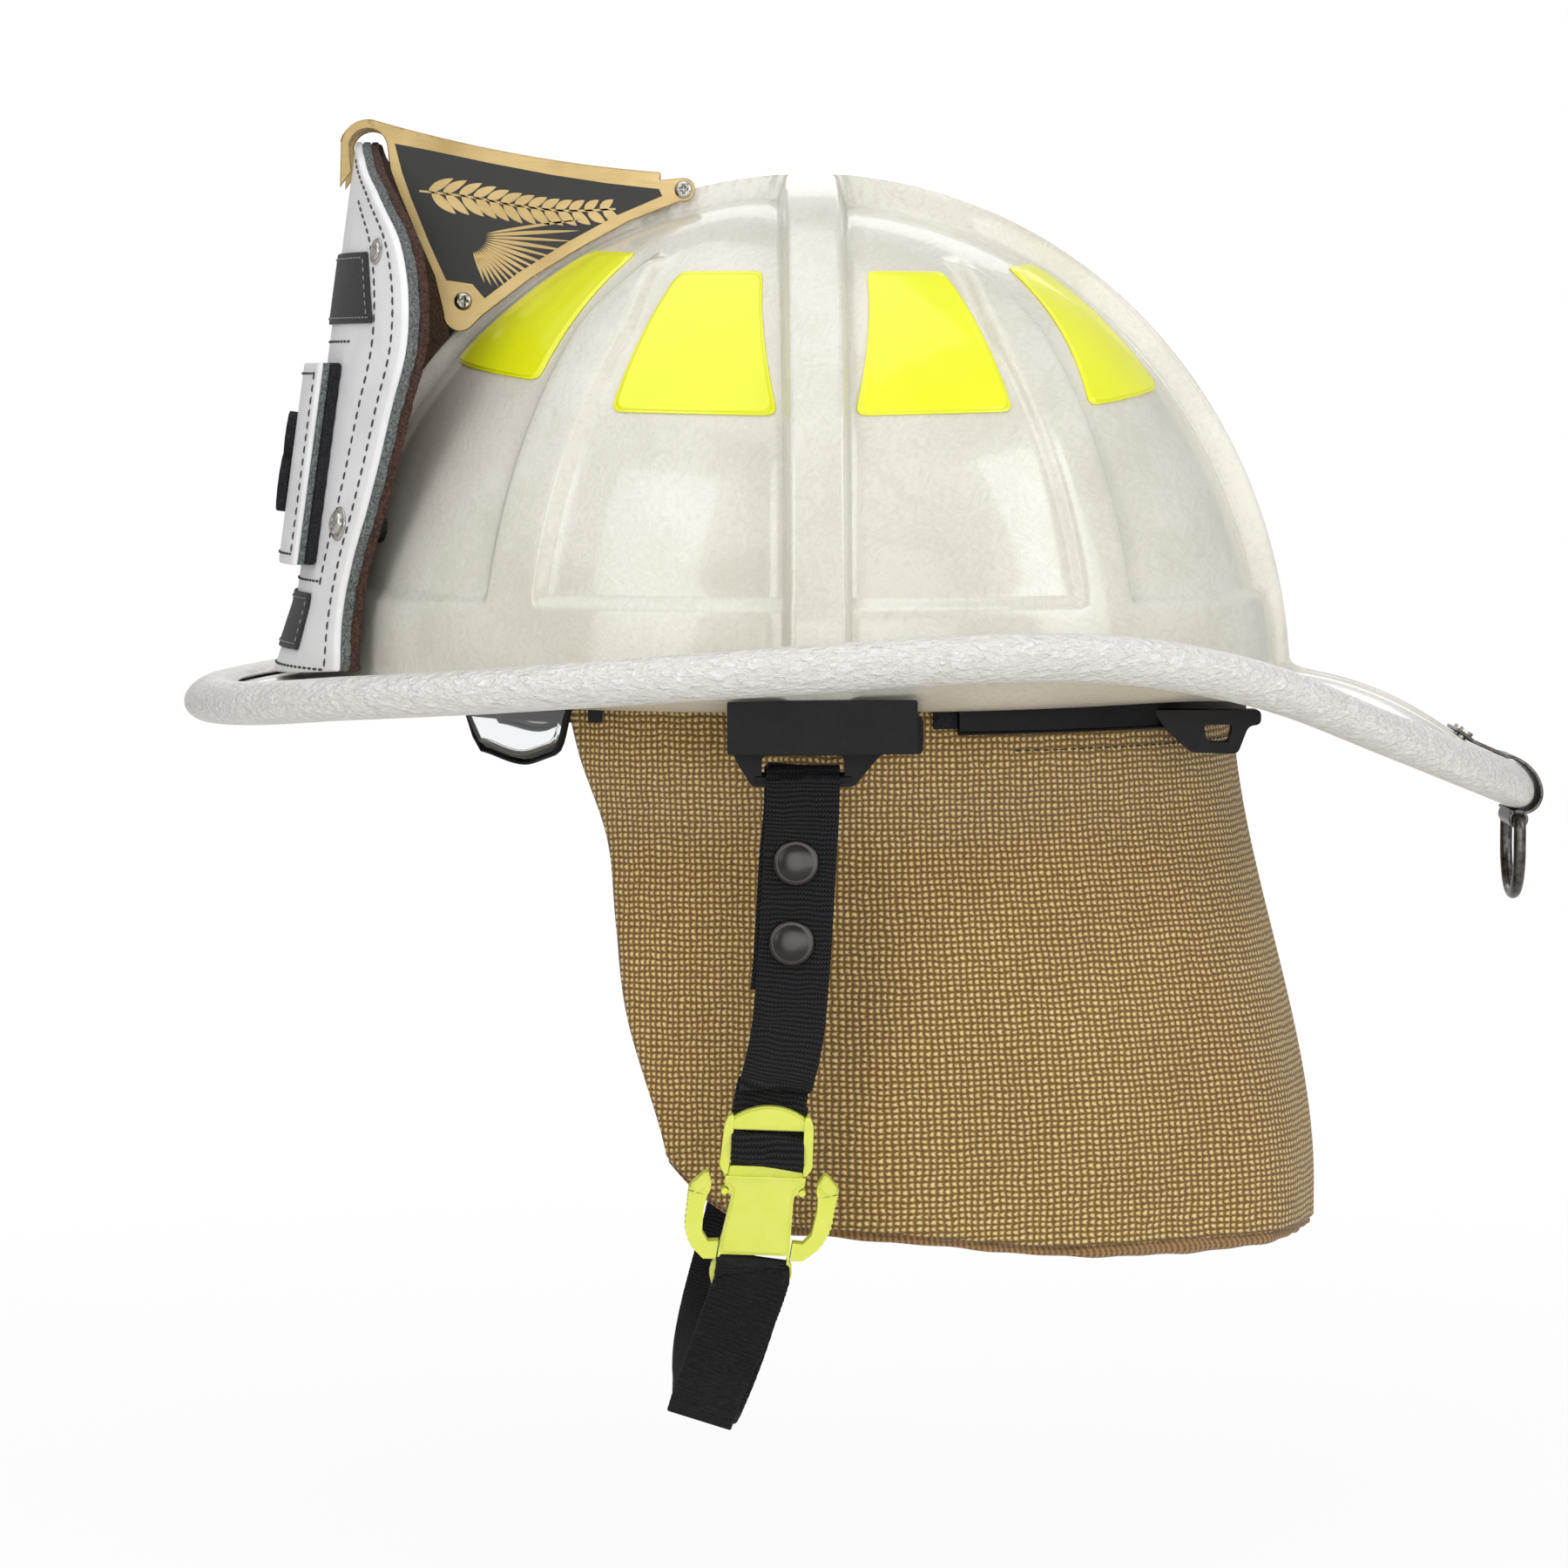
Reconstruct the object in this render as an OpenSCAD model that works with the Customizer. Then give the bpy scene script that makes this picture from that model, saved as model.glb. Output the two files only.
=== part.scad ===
// Traditional fire helmet: ribbed composite shell with a long rear brim, brass front holder,
// leather front, retractable visor, suspension, chin strap with a side buckle and a neck curtain.
// Front is -Y, the wearer's left is +X, up is +Z. Zero is the level of the shell's lower edge.

/* [Shell] */
// Half width of the dome over the cross rib
dome_half_w = 113; // [108:1:118]
// Reach of the dome in front of the cross rib
dome_front = 143; // [139:1:148]
// Reach of the dome behind the cross rib
dome_rear = 139; // [136:1:144]
// Height of the centre ridge above the lower edge
dome_h = 149.5; // [145:0.5:156]
// Thickness of the brim
brim_t = 3.2; // [2.6:0.2:3.8]
// Half width of the centre ridge
ridge_half = 9.4; // [8:0.2:11]
// Half width of the cross rib
cross_half = 7; // [5:0.5:9]
// Half width of a diagonal rib, seen from the side
diag_half = 6; // [4:0.5:7]
// Depth of the base band and diagonal ribs below the ridge
band_depth = 4.4; // [3:0.2:5]
// Depth of the pockets below the base band
pocket_depth = 3.6; // [2:0.2:4]
// Height of the base band
band_h = 28; // [22:1:34]
// Width of the slope beside each rib
slope_w = 3.2; // [2:0.2:4]

/* [Edge trim] */
// Width of the trim bead across the brim
trim_w = 17; // [15:0.5:20]
// Thickness of the trim bead
trim_t = 12; // [10:0.5:13]

/* [Front] */
// Height of the leather front above the lower edge
leather_top = 158; // [152:1:160]
// Thickness of one leather layer
leather_t = 2.2; // [1.8:0.2:2.4]
// Half width of the number panel
number_half_w = 37; // [30:1:40]
// Height of the number panel
number_h = 57; // [45:1:60]
// Thickness of the brass sheet
brass_t = 1.2; // [0.8:0.1:1.5]
// Diameter of a holder screw's head
holder_screw_d = 5.2; // [4.6:0.2:6]

/* [Visor] */
// Radius of the visor about its pivots
visor_r = 118; // [117:0.5:118.5]
// Thickness of the visor lens
visor_t = 2.2; // [1.6:0.2:2.6]
// Diameter of a visor pivot
visor_pin_d = 6; // [5:0.5:8]

/* [Head] */
// Half width of the wearer's head
head_half_w = 77; // [72:1:79]
// Half length of the wearer's head
head_half_l = 98; // [92:1:101]
// Height of the headband
headband_h = 28; // [22:1:30]
// Diameter of the ratchet knob
knob_d = 34; // [28:1:38]

/* [Chin strap] */
// Width of the webbing
web_w = 20; // [18:0.5:20]
// Thickness of the webbing
web_t = 1.9; // [1.4:0.1:2.2]
// Lowest point of the chin strap, below the lower edge
chin_drop = 211; // [200:1:225]
// Diameter of the bar that the webbing loops over
loop_bar_d = 4; // [3.4:0.2:4.6]
// Diameter of a snap
snap_d = 12.5; // [10:0.5:14]

/* [Curtain] */
// Length of the curtain below the lower edge at the side
curtain_drop = 146; // [120:1:150]
// Thickness of the curtain's outer layer
cloth_t = 1.6; // [1.2:0.2:2]
// Thickness of the curtain's lining
lining_t = 1.8; // [1.2:0.2:2.2]

/* [Hanging ring] */
// Width of the steel bracket
bracket_w = 22; // [18:1:28]
// Diameter of the ring's wire
ring_wire_d = 3.6; // [3:0.2:4.2]
// Height of the ring below its pivot
ring_drop = 24; // [20:1:30]

/* [Hidden] */

$fn = 48;
// Smallest gap between pieces that touch or pass each other
gap = 0.3;

// Colours as the photograph shows them
ivory = "#dcd8cc";
white_grain = "#f2f1ee";
lime = "#d6fa1e";
brass = "#b89a5c";
steel = "#9a9a98";
dark = "#2b2b2e";
webbing_black = "#1d1e20";
tan = "#a8884f";

// General functions
function lerp(a, b, t) = a + (b - a) * t;
function smooth(t) = let (c = max(0, min(1, t))) c * c * (3 - 2 * c);
function unit(v) = v / norm(v);
function span(a, b, n) = [for (i = [0 : n]) lerp(a, b, i / n)];
function inner_span(a, b, n) = [for (i = [1 : n - 1]) lerp(a, b, i / n)];
function reversed(v) = [for (i = [len(v) - 1 : -1 : 0]) v[i]];
function flat(rows) = [for (r = rows) each r];

// Smooth curve through a list of values, at a position counted in steps of the list
function at(v, i) = v[max(0, min(len(v) - 1, i))];
function curve(v, t) = let (
    i = min(floor(t), len(v) - 2),
    f = t - i,
    a = at(v, i - 1),
    b = at(v, i),
    c = at(v, i + 1),
    d = at(v, i + 2)
) 0.5 * (2 * b + (c - a) * f + (2 * a - 5 * b + 4 * c - d) * f * f
    + (3 * b - a - 3 * c + d) * f * f * f);

// Signed volume of a triangle mesh, used to turn its faces outwards
function volume(p, f) = let (v = [for (t = f) cross(p[t[0]], p[t[1]]) * p[t[2]]])
    v * [for (t = f) 1] / 6;
function outward(p, f) = volume(p, f) > 0 ? [for (t = f) [t[0], t[2], t[1]]] : f;
function quad(a, b, c, d) = [[a, b, c], [a, c, d]];

// Solid through a stack of closed rings, open-ended with caps or closed on itself
module tube(rings, loop = false) {
    m = len(rings);
    n = len(rings[0]);
    p = flat(rings);
    last = loop ? m - 1 : m - 2;
    sides = [for (j = [0 : last], i = [0 : n - 1])
        let (k = (i + 1) % n, h = (j + 1) % m)
        each quad(j * n + i, j * n + k, h * n + k, h * n + i)];
    caps = loop ? [] : [for (i = [1 : n - 2]) each
        [[0, i + 1, i], [(m - 1) * n, (m - 1) * n + i, (m - 1) * n + i + 1]]];
    f = concat(sides, caps);
    polyhedron(p, outward(p, f));
}

// Solid between two sheets of points that have the same rows and columns
module slab(top, bottom) {
    m = len(top);
    n = len(top[0]);
    s = m * n;
    p = concat(flat(top), flat(bottom));
    sheets = [for (j = [0 : m - 2], i = [0 : n - 2])
        let (a = j * n + i, b = a + 1, c = b + n, d = a + n)
        each concat(quad(a, b, c, d), quad(s + a, s + d, s + c, s + b))];
    rim = concat([for (i = [0 : n - 2]) i], [for (j = [0 : m - 2]) j * n + n - 1],
        [for (i = [n - 1 : -1 : 1]) (m - 1) * n + i], [for (j = [m - 1 : -1 : 1]) j * n]);
    walls = [for (i = [0 : len(rim) - 1])
        let (a = rim[i], b = rim[(i + 1) % len(rim)])
        each quad(b, a, s + a, s + b)];
    f = concat(sheets, walls);
    polyhedron(p, outward(p, f));
}

// Closed dome between an outer and an inner stack of rings, with a point at the top of each
module dome_solid(top, outer, bottom, inner, n) {
    rings = concat(outer, inner);
    p = concat([top], flat(rings), [bottom]);
    m = len(rings);
    first = [for (i = [0 : n - 1]) [0, 1 + i, 1 + (i + 1) % n]];
    sides = [for (j = [0 : m - 2], i = [0 : n - 1])
        let (a = 1 + j * n + i, b = 1 + j * n + (i + 1) % n)
        each quad(b, a, a + n, b + n)];
    z = 1 + (m - 1) * n;
    end = [for (i = [0 : n - 1]) [m * n + 1, z + (i + 1) % n, z + i]];
    f = concat(first, sides, end);
    polyhedron(p, outward(p, f));
}

// Point of the dome: a is the bearing in plan, s the climb, d the depth below the ridge level
function reach(a) = sin(a) < 0 ? dome_front : dome_rear;
function dome_pt(a, s, d) = [
    (dome_half_w - d) * cos(s) * cos(a),
    (reach(a) - d) * cos(s) * sin(a),
    (dome_h - d) * sin(s)
];

// Heights on the dome are given for one 149.5 mm high, and keep their share of it
dome_scale = dome_h / 149.5;

// Ribs: bearing of the diagonal ribs, where they run out, and the depth they leave
diag_at = 38;
diag_fade = 106 * dome_scale;
diag_tip = 131 * dome_scale;
flank_w = 1.2;
// The front pockets are shallower than the others
front_share = 0.68;
shell_wall = 3.2;
inner_depth = band_depth + pocket_depth + shell_wall;

function fold(a) = asin(min(1, abs(sin(a))));
function depth_share(a) = 1 - (1 - front_share) * smooth(-1.2 * sin(a));
function per_degree(b, c) = b * c * cos(diag_at) * PI / 180;
function diag_angle(z, b, c) =
    max(0.5, diag_half * (1 - smooth((z - diag_fade) / (diag_tip - diag_fade))) / per_degree(b, c));
function rib_depth(a, s) = let (
    p = dome_pt(a, s, 0),
    c = max(0.2, cos(s)),
    beside = smooth((abs(p.y) - cross_half) / slope_w) * smooth((abs(p.x) - ridge_half) / flank_w),
    w = diag_angle(p.z, reach(a), c),
    off = (abs(fold(a) - diag_at) - w) * per_degree(reach(a), c) / slope_w,
    gone = smooth((p.z - diag_tip + 6) / 6),
    pocket = max(smooth(off), gone) * smooth((p.z - band_h) / (1.7 * slope_w))
) beside * depth_share(a) * (band_depth + pocket * pocket_depth);

// Columns of a quarter of the dome, placed on the edges of the ribs so that these stay crisp
function quarter(s, b) = let (
    c = max(cos(s), 0.36),
    z = dome_h * sin(s),
    t1 = asin(cross_half / (b * c)),
    t2 = asin((cross_half + slope_w) / (b * c)),
    r1 = acos(ridge_half / (dome_half_w * c)),
    r2 = acos((ridge_half + flank_w) / (dome_half_w * c)),
    w = diag_angle(z, b, c),
    e = slope_w / per_degree(b, c),
    g = [diag_at - w - e, diag_at - w, diag_at, diag_at + w, diag_at + w + e]
) concat([0, t1 / 2, t1, t2], inner_span(t2, g[0], 4), g, inner_span(g[4], r2, 3), [r2, r1],
    inner_span(r1, 90, 3));
function columns(s) = let (r = quarter(s, dome_rear), f = quarter(s, dome_front)) concat(
    r, [90], [for (i = [len(r) - 1 : -1 : 0]) 180 - r[i]],
    [for (i = [1 : len(f) - 1]) 180 + f[i]], [270],
    [for (i = [len(f) - 1 : -1 : 1]) 360 - f[i]]);

// Rows of the dome, from near the top down to the base band
dome_rows = [84, 76, 69, 63, 58, 53, 47, 41, 35, 29, 23, 18, asin((band_h + 1.7 * slope_w) / dome_h),
    asin(band_h / dome_h), 6.5];

// Centre line of the trim at every 15 degrees, from a step past the front to a step past the rear
edge_line = [[-38, -168, -0.5], [0, -172, -0.5], [38, -168, -0.5], [72, -153, 1], [101, -128, 4], [123, -92, 7],
    [135, -48, 10.5], [140, 0, 14], [139, 43, 16.5], [129, 82, 15.5], [107, 121, 7.5],
    [77, 157, -7], [42, 187, -19.5], [0, 203, -26.6], [-42, 187, -19.5]];
function bearing(a) = asin(sin(a));
function edge_at(a) = let (
    t = (bearing(a) + 90) / 15 + 1,
    p = curve(edge_line, t),
    side = cos(a) < 0 ? -1 : 1
) [side * p.x, p.y, p.z];

// Root of the brim: its top face at the foot of the dome
root_lift = 3;
function root_z(a) = brim_t + root_lift * pow(sin(a), 2);
function root_at(a) = let (z = root_z(a), s = asin(z / dome_h))
    concat_z(dome_pt(a, s, rib_depth(a, s)), z);
function concat_z(p, z) = [p.x, p.y, z];
function brim_power(a) = 1.3 + 0.6 * max(0, sin(a));
// Middle of the brim's wall, a share k of the way from the root to the trim
function brim_at(a, k) = let (r = root_at(a), e = edge_at(a)) [
    lerp(r.x, e.x, k),
    lerp(r.y, e.y, k),
    lerp(root_z(a) - brim_t / 2, e.z, pow(k, brim_power(a)))
];
// Outward and upward directions of the brim at its edge
function edge_tangent(a) = unit(edge_at(a + 1) - edge_at(a - 1));
function edge_out(a) = let (
    o = brim_at(a, 1) - brim_at(a, 0.96),
    t = edge_tangent(a)
) unit(o - (o * t) * t);
function edge_up(a) = let (u = cross(edge_out(a), edge_tangent(a))) u.z < 0 ? -u : u;

// Point on the brim's top face, as other pieces stand on it
function brim_top(a, k) = brim_at(a, k) + [0, 0, brim_t / 2];

module outer_shell() {
    base = columns(0);
    n = len(base);
    outer = [for (s = dome_rows) [for (a = columns(s)) dome_pt(a, s, rib_depth(a, s))]];
    foot = asin((brim_t + root_lift + 5) / dome_h);
    skirt = [
        [for (a = base) dome_pt(a, foot, rib_depth(a, foot))],
        [for (a = base) lerp(root_at(a), brim_top(a, 0.12), 0.4) + [0, 0, 1.2]]
    ];
    top = [for (k = [0.18, 0.42, 0.66, 0.86]) [for (a = base) brim_top(a, k)]];
    tip = [
        [for (a = base) edge_at(a) + edge_out(a) + edge_up(a) * brim_t / 2],
        [for (a = base) edge_at(a) + edge_out(a) - edge_up(a) * brim_t / 2]
    ];
    under = [for (k = [0.86, 0.5, 0.1]) [for (a = base) brim_top(a, k) - [0, 0, brim_t]]];
    lip = [[for (a = base)
        let (s = asin((root_z(a) - brim_t) / dome_h)) dome_pt(a, s, inner_depth)]];
    inner = [for (s = [8, 20, 32, 44, 56, 68, 80]) [for (a = base) dome_pt(a, s, inner_depth)]];
    color(ivory)
        dome_solid([0, 0, dome_h], concat(outer, skirt, top, tip),
            [0, 0, dome_h - inner_depth], concat(under, lip, inner), n);
}

// Section of the trim: a bead with a slot for the brim's edge
slot_depth = 1.4;
slot_half = brim_t / 2 + 0.25;
slot_mouth = brim_t / 2 + 1;
function trim_section() = concat(
    [for (i = [0 : 10]) let (t = 150 - i * 30) [trim_w / 2 * cos(t), trim_t / 2 * sin(t)]],
    [[-trim_w / 2 + 0.8, -slot_mouth], [slot_depth, -slot_half], [slot_depth, slot_half],
        [-trim_w / 2 + 0.8, slot_mouth]]);
module edge_trim() {
    rings = [for (a = columns(0))
        let (c = edge_at(a), o = edge_out(a), u = edge_up(a))
        [for (q = trim_section()) c + o * q.x + u * q.y]];
    color(white_grain) tube(rings, loop = true);
}

// Reflective trapezoids, laid on the pockets. Each corner is a bearing and a height.
reflector_t = 0.6;
function pocket_at(a) = depth_share(a) * (band_depth + pocket_depth);
function on_dome(a, z, lift) = let (d = pocket_at(a) - lift)
    dome_pt(a, asin(z * dome_scale / (dome_h - d)), d);
module reflector(low_a, low_b, high_b, high_a, front) {
    turn = front ? -1 : 1;
    sheet = function (lift) [for (v = span(0, 1, 6)) [for (u = span(0, 1, 6)) let (
        p = lerp(lerp(low_a, low_b, u), lerp(high_a, high_b, u), v)
    ) on_dome(turn * p.x, p.y, lift)]];
    slab(sheet(gap + reflector_t), sheet(gap));
}
module both_sides() {
    children();
    mirror([1, 0, 0]) children();
}
module reflector_front() {
    color(lime) both_sides() reflector([45.5, 90], [79, 96], [71, 127], [47.5, 126], true);
}
module reflector_side_front() {
    color(lime) both_sides() reflector([5.4, 80.5], [30, 81.5], [30, 120.5], [11.3, 120.5], true);
}
module reflector_side_rear() {
    color(lime) both_sides() reflector([5.6, 80.5], [30.5, 81.5], [31.5, 120.5], [12.2, 120.5], false);
}
module reflector_rear() {
    color(lime) both_sides() reflector([46, 83], [73, 88], [76, 123.5], [55.5, 122], false);
}

// Extrudes an outline drawn in the side view, from x on by t
module side_plate(x, t) {
    translate([x, 0, 0]) rotate([90, 0, 90]) linear_extrude(t) children();
}
function arc(c, r, a, b, n) = [for (t = span(a, b, n)) c + r * [cos(t), sin(t)]];

// Brass front holder: two side plates joined along a rolled top edge
holder_in = ridge_half + flank_w + 0.3;
// Height of the ridge's top at a place along it, and a point that far above it
function ridge_z(y) = dome_h * sqrt(1 - pow(y / dome_front, 2));
function on_ridge(y, up) = [y, ridge_z(y) + up];
holder_rear_screw = on_ridge(-36.5, -0.15);
holder_front_screw = on_ridge(-99.6, 5.3);
// The hook over the leather, and the rolled edge's rear end
hook_r = 7.8;
hook_in = 5.5;
hook_at = [-126.6, leather_top - 1.4];
roll_end = on_ridge(-43.2, 6.9);
holder_foot = on_ridge(-100.6, 2.55);
// The rolled edge dips a little between the hook and its rear end
roll_dip = 8.8;
function roll_line(down) = let (a = hook_at + hook_r * [cos(78), sin(78)])
    [for (t = [0.2 : 0.2 : 0.81]) lerp(a, roll_end, t) - [0, down + roll_dip * t * (1 - t)]];
// Front edge of the plates, from the foot up to the hook
foot_curve = [[-108, 0.24], [-113, 0.48], [-118, 0.735], [-120.4, 0.873], [-121, 1]];
function holder_outline() = concat(
    [[-134.7, leather_top - 13], [-134.4, leather_top - 3]],
    arc(hook_at, hook_r, 175, 78, 6), roll_line(0),
    [roll_end, roll_end - [0, 2.2]],
    arc(holder_rear_screw, 3.4, 90, -105, 8),
    [on_ridge(-52, -3.85), on_ridge(-64.5, -4.85), on_ridge(-80, -4.6), on_ridge(-94, -4.05)],
    arc(holder_foot, 4.8, -50, -185, 6),
    [for (p = foot_curve) [p.x, lerp(holder_foot.y, leather_top - 2, p.y)]],
    arc(hook_at - [0, 0.4], hook_in, 10, 170, 6),
    [[-131.35, leather_top - 8.4]]
);
module front_holder() {
    color(brass) {
        for (x = [holder_in, -holder_in - brass_t]) side_plate(x, brass_t) difference() {
            polygon(holder_outline());
            for (p = [holder_front_screw, holder_rear_screw]) translate(p) circle(d = 2.7);
        }
        side_plate(-holder_in - brass_t / 2, 2 * holder_in + brass_t) polygon(concat(
            arc(hook_at, hook_r, 150, 78, 5), roll_line(0), [roll_end, roll_end - [0, 1.5]],
            reversed(roll_line(1.3)), arc(hook_at, hook_r - 1.3, 78, 150, 5)));
    }
}
// Bracket that fills the holder's foot over the ridge
module holder_bracket() {
    foot = [for (y = [-104 : 2 : -94]) on_ridge(y, 0.5)];
    color(dark) side_plate(gap - holder_in, 2 * (holder_in - gap)) difference() {
        polygon(concat(foot, [on_ridge(-94, 8.8), on_ridge(-99, 11.1), on_ridge(-104, 12.4)]));
        translate(holder_front_screw) circle(d = 2.7);
    }
}
module x_screw(p, x, head_d, head_h, shank_d, shank_l) {
    translate([x, p.x, p.y]) rotate([0, 90, 0]) {
        cylinder(d = head_d, h = head_h / 2);
        translate([0, 0, head_h / 2]) cylinder(d1 = head_d, d2 = head_d * 0.6, h = head_h / 2);
        translate([0, 0, -shank_l]) cylinder(d = shank_d, h = shank_l + 0.01);
    }
}
module holder_screws() {
    color(steel) both_sides() for (p = [holder_front_screw, holder_rear_screw])
        x_screw(p, holder_in + brass_t, holder_screw_d, 1.8, 2.6, 5);
}

// Leather front: its face follows a curve that leans back, and its half width changes with height
leather_foot = 6.6;
leather_y = -151.3;
leather_lean = 0.137;
leather_bend = 200;
leather_z = [0, 20, 35, 47, 61, 76, 93, 110, 124, 137, 147, 152];
leather_w = [58, 55, 57, 60.5, 63.5, 66, 69, 66, 58, 41, 22, 9];
function leather_half(z) = let (
    k = (z - leather_foot) * 152 / (leather_top - leather_foot),
    i = max([for (j = [0 : 10]) leather_z[j] <= k ? j : 0])
) lerp(leather_w[i], leather_w[i + 1], (k - leather_z[i]) / (leather_z[i + 1] - leather_z[i]));
// The foot of the leather flares forwards at its middle
leather_flare = 4;
flare_top = leather_foot + 20 * (leather_top - leather_foot) / 152;
function flare(x, z) = leather_flare * max(0, (flare_top - z) / 20) * (1 - x * x / 3600);
function leather_pt(x, z, back) = [
    x,
    leather_y + leather_lean * (z - leather_foot) + x * x / leather_bend - flare(x, z)
        + back * sqrt(1 + pow(2 * x / leather_bend, 2)),
    z
];
module leather_layer(front, back) {
    sheet = function (depth) [for (k = leather_z) let (
        z = leather_foot + k * (leather_top - leather_foot) / 152,
        w = leather_half(z)
    ) [for (u = span(-1, 1, 12)) leather_pt(u * w, z + (k == 0 ? 2.4 * u * u : 0), depth)]];
    slab(sheet(front), sheet(back));
}
module leather_face() {
    color("#ecebea") leather_layer(0, leather_t);
}
module leather_middle() {
    color("#5d5f5e") leather_layer(leather_t + 0.02, 2 * leather_t);
}
module leather_backing() {
    color("#6b4a3a") leather_layer(2 * leather_t + 0.02, 3 * leather_t);
}
module leather_patch(half_low, half_high, z_low, z_high, front, back) {
    sheet = function (depth) [for (v = span(0, 1, 3)) [for (u = span(-1, 1, 8))
        leather_pt(u * lerp(half_low, half_high, v), lerp(z_low, z_high, v), depth)]];
    slab(sheet(front), sheet(back));
}
panel_t = 0.8;
panel_gap = 0.25;
module name_panel_upper() {
    color(dark) leather_patch(55, 46, 106, 126, -panel_gap - panel_t, -panel_gap);
}
module name_panel_lower() {
    color(dark) leather_patch(36, 36, 14, 30, -panel_gap - panel_t, -panel_gap);
}
number_foot = 38;
tape_t = 2.8;
plate_t = 3.2;
module number_tape() {
    color(dark) leather_patch(number_half_w, number_half_w, number_foot, number_foot + number_h,
        -gap - tape_t, -gap);
}
module number_panel() {
    color("#ecebea") leather_patch(number_half_w, number_half_w, number_foot,
        number_foot + number_h, -gap - tape_t - panel_gap - plate_t, -gap - tape_t - panel_gap);
}
// Plain numeral, an 8 made of two rings
numeral_t = 2.8;
module numeral() {
    z = number_foot + number_h / 2;
    p = leather_pt(0, z, -gap - tape_t - panel_gap - plate_t - 0.1);
    color(dark) translate(p) rotate([90 - atan(leather_lean), 0, 0]) linear_extrude(numeral_t)
        difference() {
            union() {
                translate([0, -6]) circle(r = 8.6);
                translate([0, 7.4]) circle(r = 7.2);
            }
            translate([0, -6]) circle(r = 3.6);
            translate([0, 7.4]) circle(r = 2.7);
        }
}
// Fasteners that stand square to the leather's face
module on_leather(x, z) {
    slope = atan(2 * x / leather_bend);
    translate(leather_pt(x, z, 0)) rotate([0, 0, slope]) rotate([90 - atan(leather_lean), 0, 0])
        children();
}
rivet_at = [51, 126];
front_screw_at = [49.5, 50];
module front_rivets() {
    color(steel) both_sides() on_leather(rivet_at.x, rivet_at.y) {
        translate([0, 0, 0.1]) cylinder(d = 5.2, h = 1);
        translate([0, 0, -3 * leather_t]) cylinder(d = 2.4, h = 3 * leather_t + 0.2);
    }
}
module front_screws() {
    color(steel) both_sides() on_leather(front_screw_at.x, front_screw_at.y) {
        translate([0, 0, 0.1]) cylinder(d = 7, h = 0.8);
        translate([0, 0, 0.9]) cylinder(d1 = 7, d2 = 4, h = 1);
        translate([0, 0, -3 * leather_t - 4]) cylinder(d = 3, h = 3 * leather_t + 4.2);
    }
}
module barrel_nuts() {
    color(dark) both_sides() on_leather(front_screw_at.x, front_screw_at.y)
        translate([0, 0, -3 * leather_t - 6.6]) difference() {
            cylinder(d = 7.6, h = 6.4);
            translate([0, 0, 2.4]) cylinder(d = 3.1, h = 5);
        }
}

// Visor: lens and arms lie on one surface of revolution about the pivots' line
pivot_y = -5;
pivot_z = 15;
visor_x = 95.5;
lens_angle = 60;
// The lens reaches less high under a flatter dome
lens_high = 38 - 202 * max(0, 1 - dome_scale);
function visor_pt(w, psi, off) = [
    (visor_x + off) * sin(w),
    pivot_y - (visor_r + off) * cos(w) * cos(psi),
    pivot_z + (visor_r + off) * cos(w) * sin(psi)
];
// Lower edge of the lens: level in front, a lobe before each ear
function lens_low(w) = let (k = abs(w)) -3.4 - 14 * smooth((k - 36.5) / 2.6)
    - 5 * smooth((k - 38) / 10) + 14 * smooth((k - 52) / 8);
module visor_lens() {
    sheet = function (off) [for (v = span(0, 1, 5)) [for (w = span(-lens_angle, lens_angle, 48))
        visor_pt(w, lerp(lens_low(w), lens_high, v), off)]];
    color("#9fb3b8", 0.5) slab(sheet(visor_t / 2), sheet(-visor_t / 2));
}
arm_psi = 12;
arm_half = 7;
module visor_arms() {
    end_r = (visor_r - visor_t / 2) * cos(lens_angle) - 0.6;
    side = function (off) [for (r = span(-5, end_r, 8)) [for (q = [-arm_half, 0, arm_half]) [
        (visor_x + off) * sqrt(1 - (r * r + q * q) / (visor_r * visor_r)),
        pivot_y - r * cos(arm_psi) + q * sin(arm_psi),
        pivot_z + r * sin(arm_psi) + q * cos(arm_psi)
    ]]];
    color(dark) both_sides() difference() {
        union() {
            slab(side(visor_t / 2), side(-visor_t / 2));
            translate([visor_x - 1.5, pivot_y, pivot_z]) rotate([0, 90, 0]) cylinder(r = 9, h = 2.6);
        }
        translate([visor_x - 5, pivot_y, pivot_z]) rotate([0, 90, 0])
            cylinder(d = visor_pin_d + 0.1, h = 10);
    }
}
cap_half_w = 91;
module visor_pivots() {
    color(steel) both_sides() translate([cap_half_w + 0.2, pivot_y, pivot_z]) rotate([0, 90, 0]) {
        cylinder(d = visor_pin_d, h = 8);
        cylinder(d = visor_pin_d + 4, h = 2.4);
    }
}
module visor_tabs() {
    p = visor_pt(lens_angle, lens_low(lens_angle), 0);
    color(dark) both_sides() translate([p.x - 1, p.y + 0.7, p.z - 10]) cube([4, 4, 12]);
}

// Impact cap and foam liner under the shell
cap_front = 115;
cap_rear = 118;
cap_top = dome_h - 21;
cap_t = 2.2;
foam_t = 8;
cap_columns = [for (i = [0 : 31]) i * 360 / 32];
function cap_pt(a, s, d) = [
    (cap_half_w - d) * cos(s) * cos(a),
    ((sin(a) < 0 ? cap_front : cap_rear) - d) * cos(s) * sin(a),
    (cap_top - d) * sin(s)
];
module half_dome(d_out, d_in, low) {
    stack = function (d) [for (s = concat([asin(low / (cap_top - d))], span(16, 80, 7)))
        [for (a = cap_columns) cap_pt(a, s, d)]];
    dome_solid([0, 0, cap_top - d_out], reversed(stack(d_out)), [0, 0, cap_top - d_in],
        stack(d_in), len(cap_columns));
}
module impact_cap() {
    color(dark) half_dome(0, cap_t, 8);
}
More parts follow.
